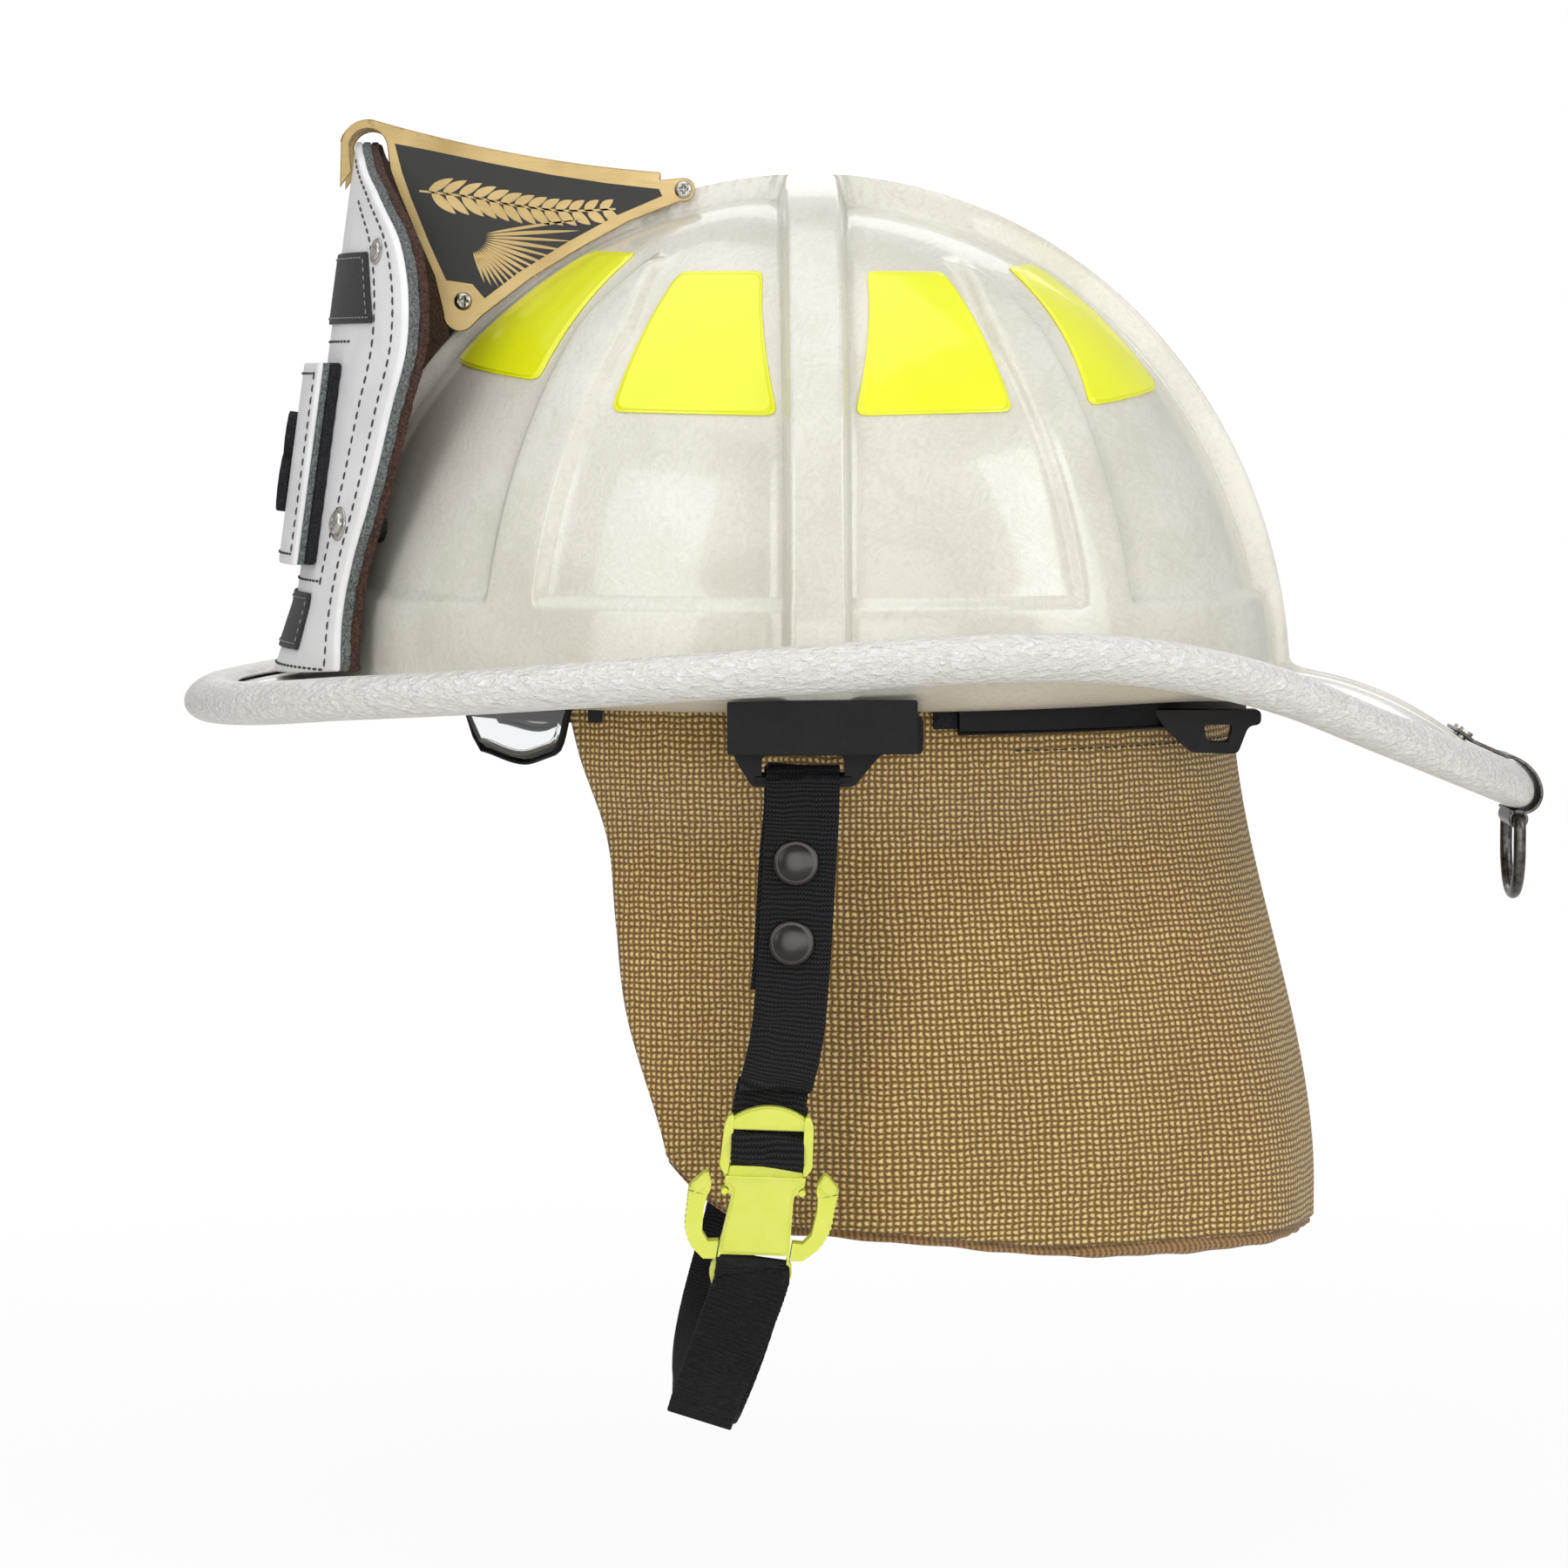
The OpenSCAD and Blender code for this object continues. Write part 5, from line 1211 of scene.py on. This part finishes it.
def ribbon(path, sides, wide, thick, step=0.65, fray=0.1):
    walked = [0.0]
    for a, b in zip(path, path[1:]):
        walked.append(walked[-1] + (b - a).length)
    count = int(walked[-1] / step)
    rows, down = [], []
    for n in range(count + 1):
        far = walked[-1] * n / count
        i = max(j for j in range(len(path) - 1) if walked[j] <= far + 1e-9)
        f = (far - walked[i]) / max(1e-9, walked[i + 1] - walked[i])
        p = along(path, i + f)
        nearby = [along(path, k) for k in (max(0, i + f - 0.05), min(len(path) - 1, i + f + 0.05))]
        ahead = (nearby[1] - nearby[0]).normalized()
        side = sides[i].lerp(sides[i + 1], f)
        side = (side - ahead * side.dot(ahead)).normalized()
        up = side.cross(ahead)
        w = (wide[i] * (1 - f) + wide[i + 1] * f) / 2 - fray * abs(math.sin(far * math.pi / web_rib))
        slim = 1 if 0 < n < count else 0.6
        row = []
        for s, h in [(-1, 0), (-1, 0.7), (-0.96, 1), (-0.5, 1), (0, 1), (0.5, 1), (0.96, 1), (1, 0.7),
                     (1, 0), (1, -0.7), (0.96, -1), (0.5, -1), (0, -1), (-0.5, -1), (-0.96, -1),
                     (-1, -0.7), (-1, 0)]:
            row.append(p + side * s * w + up * h * slim * thick / 2)
        rows.append(row)
        down.append(far)
    down = [down[0]] + down + [down[-1]]
    flat_at = [(-1, 0.7), (-1, 0), (-0.96, 0), (-0.5, 0), (0, 0), (0.5, 0), (0.96, 0), (1, 0), (1, 0.7),
               (1, 1), (0.96, 1), (0.5, 1), (0, 1), (-0.5, 1), (-0.96, 1), (-1, 1), (-1, 0.7)]
    half = max(wide) / 2
    flat_at = [s * half + h * 0.4 for s, h in flat_at]
    return sheet_of(closed(rows), lay=lambda j, i: (flat_at[i], down[j]))


# Left webbing: one tape, doubled. Its two ends lie at the back, one just under the lower snap
# and one above the buckle, and both stand a little out at the front edge.
web_w, web_t = 20.0, 1.9
buckle_at, buckle_lean = Vector((104, -12.5, -128)), 9.0
web_line = [Vector(p) for p in (
    (110, -4, -20.6), (108.8, -4.9, -40), (107.4, -6.1, -62), (105.2, -8, -86), (101, -11, -101),
    (98.6, -12, -107), (98.6, -12.6, -115), (100.3, -13, -119.5))]


def on_strap(q):
    return buckle_at + Vector((0, q * deg_sin(buckle_lean), q * deg_cos(buckle_lean)))


level = Vector((0, 1, 0))
leaned = Vector((0, deg_cos(buckle_lean), -deg_sin(buckle_lean)))
lock_bar = on_strap(8.6) + Vector((0, -2.4, 0))
down_face = [web_line[k] + Vector((1.13, 0, 0)) for k in range(7)]
up_face = [web_line[k] + Vector((-1.13, -1.1, 0)) for k in range(7)]
over_bar = [Vector((bar_x + 3.05 * deg_cos(t), bar_y - 0.5 * (t > 90), bar_z + 3.05 * deg_sin(t)))
            for t in spread(0, 180, 8)]
path = [up_face[4] + Vector((0, 0, -6)), up_face[5] + Vector((-0.4, 0.3, -4)),
        up_face[6] + Vector((-0.4, 0.6, -3))]
path += [lock_bar + Vector((2.9 * deg_cos(t), 0, 4.2 * deg_sin(t))) for t in spread(215, 450, 10)]
path += [lock_bar + Vector((-3.4, 0, 8.5)), down_face[5] + Vector((-0.4, 0, 4)),
         down_face[4]] + [down_face[k] for k in (3, 2, 1)]
path += [Vector((bar_x + 1.5, bar_y - 0.2, -27))] + over_bar + [Vector((bar_x - 2.2, bar_y - 0.8, -27))]
path += [up_face[1], up_face[2], up_face[2].lerp(up_face[3], 0.58)]
sides = [leaned if p.z < -104 else level for p in path]
strap = piece_of("strap_left", ribbon(path, sides, [web_w] * len(path), web_t), "helmet", webbing)
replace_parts(strap, "webbing_left")
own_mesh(strap)

# Snaps: two blackened brass press studs through the doubled webbing above the buckle, each a
# domed cap with a rolled rim on a short post.
gunmetal, tree, shader, where = finish_of("blackened_brass_snap", "#3d3a3a", 0.3, Metallic=1.0)
rubs = noise(where, 420, 3)
feed(shader, {"Roughness": ranged(rubs, to=(0.12, 0.3))})
caps = []
for k in (1, 2):
    out = Vector((deg_cos(3.6), 0, deg_sin(3.6)))
    seat = web_line[k] + Vector((2.2, -1.0, 0))
    crown = [(5.6, -0.1), (6.25, 0.25), (6.3, 0.7), (6.05, 1.05), (5.6, 1.2), (5.2, 1.14), (4.6, 1.3),
             (3.4, 1.55), (1.8, 1.66)]
    caps.append(turned_head(seat, out, crown))
    for face in caps[-1].faces:
        face.smooth = True
for at in web_line[1:3]:
    caps.append(capped_rod(at + Vector((2.2, -1, 0)), at + Vector((-2.8, -1, 0)), 2.0, 16))
snaps = piece_of("snap_caps", merged(caps), "helmet", gunmetal)
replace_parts(snaps, "snaps")

# Buckle: a side-release pair in lime acetal, leaned with the strap. The ladder half carries
# raised rails and an arched top bar; the socket's two sprung arms are moulded on it.
acetal, tree, shader, where = finish_of("moulded_acetal_lime", "#e4ec5a", 0.36, Subsurface_Weight=0.12,
                                        Subsurface_Scale=0.002)
shader.inputs["Subsurface Radius"].default_value = (1.0, 1.0, 0.3)
# The moulded skin has a fine grain of 0.9 mm and a few slight scuffs.
grain = noise(where, 1100, 2)
scuff = noise(where, 140, 5, Roughness=0.7)
tint(shader, scuff, 0.35, "#e2ea58", 0.75, "#e9f06a")
emboss(shader, grain, 0.1, 0.0002)
buckle_shift, buckle_turn, low_bar_drop = -1.8, 2, 26.8


def on_buckle(part, slant=0.0):
    for vert in part.verts:
        x, y, z = vert.co / MM
        y += buckle_shift + slant * z
        leaned_y = y * deg_cos(buckle_turn) + z * deg_sin(buckle_lean)
        leaned_z = z * deg_cos(buckle_lean) - y * deg_sin(buckle_turn)
        vert.co = (buckle_at + Vector((x, leaned_y, leaned_z))) * MM
    return part


def mirrored(points):
    return list(points) + [(-y, z) for y, z in reversed(points) if abs(y) > 1e-6]


lock_half = [(11.0, 1.7), (12.2, 3.0), (12.8, 4.6), (12.5, 6.4), (11.9, 10), (11.6, 16)]
lock_half += arc((0, 4.2), 16.6, 45, 90, 10)
lock_window = rounded(mirrored([(10.3, 4.2), (9.9, 14.2)]), 1.0)
rail_half = [(10.3, 1.9), (11.3, 2.0), (12.6, 4.4), (12.4, 9.5), (12.1, 15.6), (11.3, 17.9),
             (10.2, 18.5), (9.6, 17.6), (9.7, 12)]
arch = arc((0, 4.2), 16.1, 50, 130, 16) + [(-9.7, 14.6), (9.7, 14.6)]
lower_bar = rounded(mirrored([(10.4, 0.9), (9.8, 4.3)]), 0.9)
tongue = [(-6.4, 1), (-6.4, -11), (-4, -13.4), (4, -13.4), (6.4, -11), (6.4, 1)]
parts = [side_plate(mirrored(lock_half), -2.5, 3.6, 0.4, windows=[lock_window], segments=3)]
for s in (1, -1):
    parts.append(side_plate(rounded([(s * y, z) for y, z in rail_half][::s], 0.9), -2.3, 5.0, 0.6))
parts += [side_plate(rounded(arch, 0.5), 0.9, 1.3, 0.5), side_plate(lower_bar, 0.8, 1.2, 0.45)]
parts += [side_plate(rounded([(y - 0.55, 0.7), (y + 0.55, 0.7), (y + 0.55, 2.9), (y - 0.55, 2.9)], 0.2),
                     1.5, 0.9, 0.25) for y in (-3.2, 3.2)]
parts += [side_plate(tongue, -1.5, 3.0, 0.4), capped_rod((0, -10.6, 8.6), (0, 10.6, 8.6), 1.3)]
lock_piece = piece_of("ladder_half", on_buckle(merged(parts), -0.08), "lock", acetal,
                      smooth=False)
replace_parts(lock_piece, "buckle_lock")

# The socket half: a hollow box with a T flange over its mouth, and two legs round the lower bar.
socket_half = [(10.9, 1.5), (10.9, -0.9), (9.9, -1.4), (8.6, -3.6), (8.5, -5), (9.3, -14.6),
               (9.7, -17.5), (9.8, -21.6), (11.0, -23.4), (11.2, -25.6), (10.2, -28.4), (9.5, -28.2),
               (9.3, -20.8), (8.9, -20.1)]
panel_half = [(10.4, 0.9), (9.8, -0.2), (7.9, -1.4), (7.6, -5), (8.5, -13.5), (8.8, -18.3),
              (7.9, -19.3)]
parts = [side_plate(rounded(mirrored(socket_half), 0.35, 3), -4.0, 7.4, 0.5)]
parts += [side_plate(rounded(mirrored(panel_half), 0.7), 3.3, 0.75, 0.5)]
parts += [side_plate(rounded(mirrored([(10.9, -0.1), (10.9, 1.7)]), 0.5), 3.0, 0.9, 0.4)]
parts += [capped_rod((-3.2, s * 10.6, -2.7), (3.7, s * 10.6, -2.7), 0.95, 20) for s in (1, -1)]
parts += [side_plate(rounded([(s * 8.2, -3.2), (s * 10.8, -3.2), (s * 10.8, -2.2),
                              (s * 8.2, -2.2)][::s], 0.3), -2.6, 5.8, 0.25) for s in (1, -1)]
parts += [capped_rod((0, -9.7, -low_bar_drop), (0, 9.7, -low_bar_drop), 1.3)]
socket_piece = piece_of("socket_half", on_buckle(merged(parts)), "helmet", acetal,
                        smooth=False)
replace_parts(socket_piece, "buckle_socket")

# Each arm bows out from its root; its outer face is ridged for the thumb, 1.2 mm apart.
arm_root = (-11.6, -18.6)
inner = [(1.5, 2.0), (-1.4, 1.8), (-3.4, 4.4), (-3.9, 11), (-3.5, 14.6), (-2.9, 16.0), (-2.9, 18.2),
         (-4.2, 21.0), (-5.3, 20.8), (-8.3, 17.7)]
outer = [(-8.3, 17.9), (-8.5, 16.2), (-8.3, 12.2), (-7.9, 5.6), (-5.6, 0.2)]
ridged = []
for i, t in enumerate(spread(0.6, 3.7, 26)):
    p = along([Vector((a, b, 0)) for a, b in outer], t)
    ridged.append((p.x - (0.45 if i % 2 else 0), p.y))
arm_line = inner + [outer[1]] + ridged + [outer[4], (-2, -2.9), (1.5, -2.9)]
head_line = [(-3.3, 18.0), (-4.4, 20.6), (-5.3, 20.4), (-8.0, 17.5), (-7.0, 15.0)]
arm_line, head_line = ([(y + arm_root[0], z + arm_root[1]) for y, z in line]
                       for line in (arm_line, head_line))
for name, s in (("arm_front", 1), ("arm_rear", -1)):
    flip = [[(s * y, z) for y, z in line][::s] for line in (arm_line, head_line)]
    parts = [side_plate(flip[0], -3.3, 6.6, 0.35), side_plate(rounded(flip[1], 0.4), 2.9, 1.0, 0.45)]
    made = piece_of("buckle_" + name + "_moulding", on_buckle(merged(parts)), name, acetal,
                    smooth=False)
    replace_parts(made, "buckle_" + name)

# Lower webbing: from the socket's bar it runs under the chin and up to the right-hand hanger.
# Its free end is folded back over the bar and lies on the outside, its pile rubbed up to lint.
felted, tree, shader, where = finish_of("felted_webbing_black", "#1a1a1c", 0.92,
                                        Specular_IOR_Level=0.25, Sheen_Weight=0.06, Sheen_Roughness=0.4)
threads = add(tree, "UVMap", uv_map="threads")
axes = add(tree, "SeparateXYZ", {"Vector": threads})
rib_at = calc("MULTIPLY", axes.outputs["Y"], math.tau / web_rib)
rib_wave = calc("COSINE", rib_at)
# Lint: stretched noise crossing in three directions, bright threads about 0.2 mm wide.
lint = None
for tilt in (0.5, -0.9, 2.0):
    turned_at = add(tree, "Mapping",
                    {"Vector": threads, "Rotation": (0, 0, tilt), "Scale": (0.35, 4.2, 1)})
    strand = noise(turned_at, 1.0, 3, Distortion=1.2)
    line_at = ranged(strand, 0.56, 0.72)
    lint = line_at if lint is None else calc("MAXIMUM", lint, line_at)
fuzz = noise(threads, 3.2, 4, Roughness=0.8)
both = calc("MULTIPLY_ADD", lint, 0.5, fuzz)
level_of = calc("MULTIPLY_ADD", rib_wave, 0.05, both)
tint(shader, ranged(level_of, 0.3, 1.1), 0.1, "#08080a", 1.0, "#333336")
emboss(shader, level_of, 0.7, 0.0006)
low_bar = buckle_at + Vector((0, buckle_shift - low_bar_drop * deg_sin(buckle_lean),
                              -low_bar_drop * deg_cos(buckle_lean)))
chin_left = [Vector(p) for p in (
    (103.4, -19.4, -160), (103.2, -22, -170), (101, -25.6, -180.5), (94.5, -28.6, -189),
    (84, -30.2, -195), (66, -31, -199.5), (40, -31.2, -202.6), (0, -31.3, -204))]
chin_right = [Vector(p) for p in (
    (-26, -31.6, -203.6), (-54, -31, -200.5), (-79, -29, -194), (-95, -25.8, -184),
    (-102, -22.6, -173.4), (-104, -19.8, -162), (-104.2, -18.4, -146), (-105.6, -13.9, -114),
    (-107, -9.4, -82), (-108.4, -4.9, -50), (-109.6, -4.3, -32))]
right_bar = Vector((-110, -4, -17.5))
path = [low_bar + 3.0 * Vector((deg_cos(t), 0, deg_sin(t))) for t in spread(20, 180, 6)]
path += chin_left + chin_right
path += [right_bar + 3.05 * Vector((-deg_cos(t), 0, deg_sin(t))) for t in spread(0, 190, 8)]
path += [Vector((-106.6, -5, -32)), Vector((-105.2, -6.4, -52))]
sides = []
for p in path:
    if p.x > 0:
        tilt = 8 + 12 * ease((-158 - p.z) / 22)
    else:
        tilt = 8 * (1 - ease((p.z + 50) / 25)) + 11 * ease((-140 - p.z) / 60)
    tilt = 9 + 10 * ease((90 - abs(p.x)) / 60) if p.z < -189 else tilt
    sides.append(Vector((0, deg_cos(tilt), -deg_sin(tilt))))
wide = [19.4 if p.z > -170 else 18.6 for p in path]
chin_piece = piece_of("chin_strap", ribbon(path, sides, wide, web_t, step=0.9), "helmet", webbing)
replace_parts(chin_piece, "chin_webbing")
path = [low_bar + Vector((-2.9, -1.6, -7)), low_bar + Vector((-3.2, -0.4, -3.5))]
path += [low_bar + Vector((4.9 * deg_cos(t), 0.8, 4.9 * deg_sin(t))) for t in spread(180, 10, 8)]
path += [Vector(p) for p in ((108.2, -19.6, -159.5), (107.6, -22.8, -168), (106, -26.8, -178.5),
                             (102.4, -30.3, -188), (99, -32.3, -194.6))]
sides = [Vector((0, deg_cos(a), -deg_sin(a))) for a in [8] * 12 + [11, 15, 19, 21]]
wide = [20.4] * 12 + [20.2, 19.4, 18.8, 18.5]
flap = piece_of("strap_free_end", ribbon(path, sides, wide, 2.2, step=0.5, fray=0.22), "helmet", felted)
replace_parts(flap, "strap_flap")

# Right-hand slider: a moulded nylon keeper that the webbing passes through, with two grip ribs
# on either face. Its place along the webbing is set by hand.
ahead = (chin_right[8] - chin_right[7]).normalized()
across = Vector((0, deg_cos(8), -deg_sin(8)))
across = (across - ahead * across.dot(ahead)).normalized()
outward = across.cross(ahead)
middle = (chin_right[7] + chin_right[8]) / 2
frame_line = rounded([(-13, -3.2), (13, -3.2), (13, 3.2), (-13, 3.2)], 1.5)
slot_line = rounded([(-10.6, -1.5), (10.6, -1.5), (10.6, 1.5), (-10.6, 1.5)], 0.5)
parts = [side_plate(frame_line, -5.5, 11, 0.5, windows=[slot_line], segments=3)]
parts += [side_plate(rounded([(-11, s * 2.9), (11, s * 2.9), (11, s * 3.7), (-11, s * 3.7)][::s], 0.3),
                     x, 1.2, 0.3) for s in (1, -1) for x in (-3.6, 2.4)]
keeper = merged(parts)
for vert in keeper.verts:
    x, y, z = vert.co
    vert.co = middle * MM + ahead * x + across * y + outward * z
keeper_piece = piece_of("webbing_slider", keeper, "slider", nylon, smooth=False)
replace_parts(keeper_piece, "strap_slider")

# Rear bracket: a steel strip riveted on the brim and wrapped round its bead, ending in a barrel.
# The hanging ring swings in the barrel. Both are tarnished dark, mottled in tone and gloss.
worn_steel, tree, shader, where = finish_of("tarnished_spring_steel", "#6f6c69", 0.3, Metallic=1.0)
rubs = noise(where, 320, 4, Roughness=0.7)
tint(shader, rubs, 0.35, "#3d3a38", 0.7, "#787571")
feed(shader, {"Roughness": ranged(rubs, to=(0.15, 0.45))})
nose, (out_dir, up_dir) = edge_at(90), edge_frame(90)
strip_line = [brim_top(90, k) + Vector((0, 0.5, 0.9)) for k in (0.74, 0.82)]
strip_line += [nose + out_dir * 9.5 * deg_cos(t) + up_dir * 7 * deg_sin(t)
               for t in spread(136, -62, 27)]
over, under = [], []
for i, p in enumerate(strip_line):
    t = (strip_line[min(i + 1, len(strip_line) - 1)] - strip_line[max(i - 1, 0)]).normalized()
    n = Vector((0, -t.z, t.y))
    over.append(((p + n * 0.5).y, (p + n * 0.5).z))
    under.append(((p - n * 0.5).y, (p - n * 0.5).z))
barrel_y, barrel_z = 204.8, -36.6
strip = side_plate(over + under[::-1], -11, 22, 0.3)
barrel = side_plate(arc((barrel_y, barrel_z), 2.85, 0, 350, 35), -11, 22, 0.25,
                    [((barrel_y, barrel_z), 1.88)])
bracket = piece_of("rear_bracket_strip", merged([strip, barrel]), "helmet", worn_steel,
                   smooth=False)
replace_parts(bracket, "ring_bracket")
half, leg, bend = 13.6, 8.6, 3.0
loop_line = [(x, 0) for x in spread(-half + bend, half - bend, 6)]
loop_line += [(half - bend + bend * deg_sin(t), -bend + bend * deg_cos(t)) for t in spread(10, 90, 6)]
loop_line += [(half * deg_cos(t), -leg - half * deg_sin(t)) for t in spread(0, 180, 32)]
loop_line += [(-half + bend - bend * deg_cos(t), -bend + bend * deg_sin(t)) for t in spread(0, 80, 6)]
rows = []
for i, (x, z) in enumerate(loop_line):
    ahead = Vector(loop_line[(i + 1) % len(loop_line)]) - Vector(loop_line[i - 1])
    n = Vector((ahead.y, 0, -ahead.x)).normalized()
    here = Vector((x, barrel_y, barrel_z + z))
    ring_row = [here + (n * deg_cos(t) + level * deg_sin(t)) * 1.8 for t in spread(0, 345, 23)]
    rows.append(ring_row + ring_row[:1])
ring_piece = piece_of("hanging_ring_wire", sheet_of(rows + rows[:1]), "ring", worn_steel)
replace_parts(ring_piece, "hang_ring")

# Suspension: a rigid foam liner in the impact cap, and two webbing straps over the head that
# stand between the headband and its keys.
foam, tree, shader, where = finish_of("rigid_urethane_foam", "#d9d3bd", 0.9)
cells = add(tree, "TexVoronoi", {"Vector": where, "Scale": 900})
tint(shader, cells, 0.0, "#e2dcc6", 1.0, "#bfb79c")
emboss(shader, cells, 0.5, 0.0004)
finish_nodes(foam, "foam_liner")
finish_nodes(nylon, "impact_cap", "ratchet_housing", "ratchet_knob", "nape_tail_left",
             "nape_tail_right")
for node, turn_at, crown_at in (("crown_strap_lower", 45, 104.0), ("crown_strap_upper", 135, 106.6)):
    twist = -13.3 if turn_at < 90 else 13.3
    low = deg_asin(34 / crown_at)
    line = [(92.85, 6, 1), (92.85, 17, 1), (88.35, 25, 0.6)]
    line += [(85.1 * deg_cos(t), crown_at * deg_sin(t), 0) for t in spread(low, 180 - low, 30)]
    line += [(-r, z, w) for r, z, w in line[2::-1]]
    path, sides = [], []
    for r, z, w in line:
        out = Vector((r, max(0, z - 20) * 1.4)).normalized()
        r, z = r + out.x * 0.8, z + out.y * 0.8
        path.append(Vector((r * deg_cos(turn_at), r * deg_sin(turn_at), z)))
        sides.append(Vector((-deg_sin(turn_at + twist * w), deg_cos(turn_at + twist * w), 0)))
    strap = piece_of(node + "_web", ribbon(path, sides, [20.0] * len(path), 1.6), "helmet", webbing)
    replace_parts(strap, node)

# The headband is a moulded strip of black plastic, bent round inside the crown straps. Its
# lower edge keeps above the brim's line.
head_x, head_y = 77, 98
rows = []
for a in spread(-211, 31, 160):
    row = []
    for grow, z in ((5.2, -5), (6.6, -5), (6.8, -4.6), (6.8, 15.6), (6.6, 16), (5.2, 16), (5, 15.6),
                    (5, -4.6), (5.2, -5)):
        row.append(Vector(((head_x + grow) * deg_cos(a), (head_y + grow) * deg_sin(a), z)))
    rows.append(row)
band_piece = piece_of("headband_strip", sheet_of(closed(rows)), "helmet", nylon,
                      smooth=False)
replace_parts(band_piece, "headband")

# Comfort pads: flannel-faced foam, sewn across in channels. Each is a crowned closed form
# bent to its seat: the brow pad in the headband, the nape pad on the ratchet, the crown pad.
flannel, tree, shader, where = finish_of("brushed_flannel_tan", "#8f7d5c", 0.95, Sheen_Weight=0.4,
                                         Sheen_Roughness=0.5)
nap = noise(where, 1400, 4, Roughness=0.8)
cloud = noise(where, 70, 3)
mixed = calc("MULTIPLY_ADD", nap, 0.6, cloud)
tint(shader, ranged(mixed, 0.55, 1.05), 0.0, "#75654a", 1.0, "#a5926d")
emboss(shader, nap, 0.6, 0.0005)


def bent_pad(name, node, place, ends, z_low, z_high, thick, channels):
    rows = []
    for u in spread(0, 1, 96):
        s = (1 - abs(2 * u - 1) ** 10) ** 0.5
        nearest = min(abs(u - c) for c in channels)
        plump = 1 - 0.4 * math.exp(-((nearest * (ends[1] - ends[0]) / 1.1) ** 2))
        row = []
        for t in spread(0, 345, 23):
            x, y = deg_cos(t), deg_sin(t)
            x = math.copysign(abs(x) ** 0.5, x) * s
            y = math.copysign(abs(y) ** 0.8, y) * s * plump * thick / 2
            row.append(place(ends[0] + (ends[1] - ends[0]) * u, y,
                             (z_low + z_high) / 2 + x * (z_high - z_low) / 2))
        rows.append(row + row[:1])
    pad = piece_of(name, sheet_of(rows), "helmet", flannel)
    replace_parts(pad, node)


def brow_place(a, y, z):
    return Vector(((head_x + 2.65 + y) * deg_cos(a), (head_y + 2.65 + y) * deg_sin(a), z))


nape_r, nape_y = 63.6, 35


def nape_place(a, y, z):
    return Vector(((nape_r + y) * deg_cos(a), nape_y + (nape_r + y) * deg_sin(a), z))


bent_pad("brow_pad_flannel", "brow_pad", brow_place, (-150, -30), -4.5, 14, 4.1, (0.2, 0.4, 0.6, 0.8))
bent_pad("nape_pad_flannel", "nape_pad", nape_place, (62, 118), -30, -4, 4.0, (0.33, 0.67))
rows, pad_r = [], 34
for s in spread(0, 180, 40):
    r = pad_r * deg_sin(s) ** 0.7
    dip = 1 - 0.35 * math.exp(-(((r - 20) / 1.4) ** 2)) * (0 < s < 180)
    row = []
    for t in spread(0, 350, 35):
        z = 103.2 * (1 - (r / 86) ** 2) ** 0.5 - 2.5 + 2.5 * deg_cos(s) * dip * (1 - (r / 34.2) ** 6 * 0.5)
        row.append(Vector((r * deg_cos(t), r * deg_sin(t), z)))
    rows.append(row + row[:1])
crown = piece_of("crown_pad_flannel", sheet_of(rows), "helmet", flannel)
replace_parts(crown, "crown_pad")
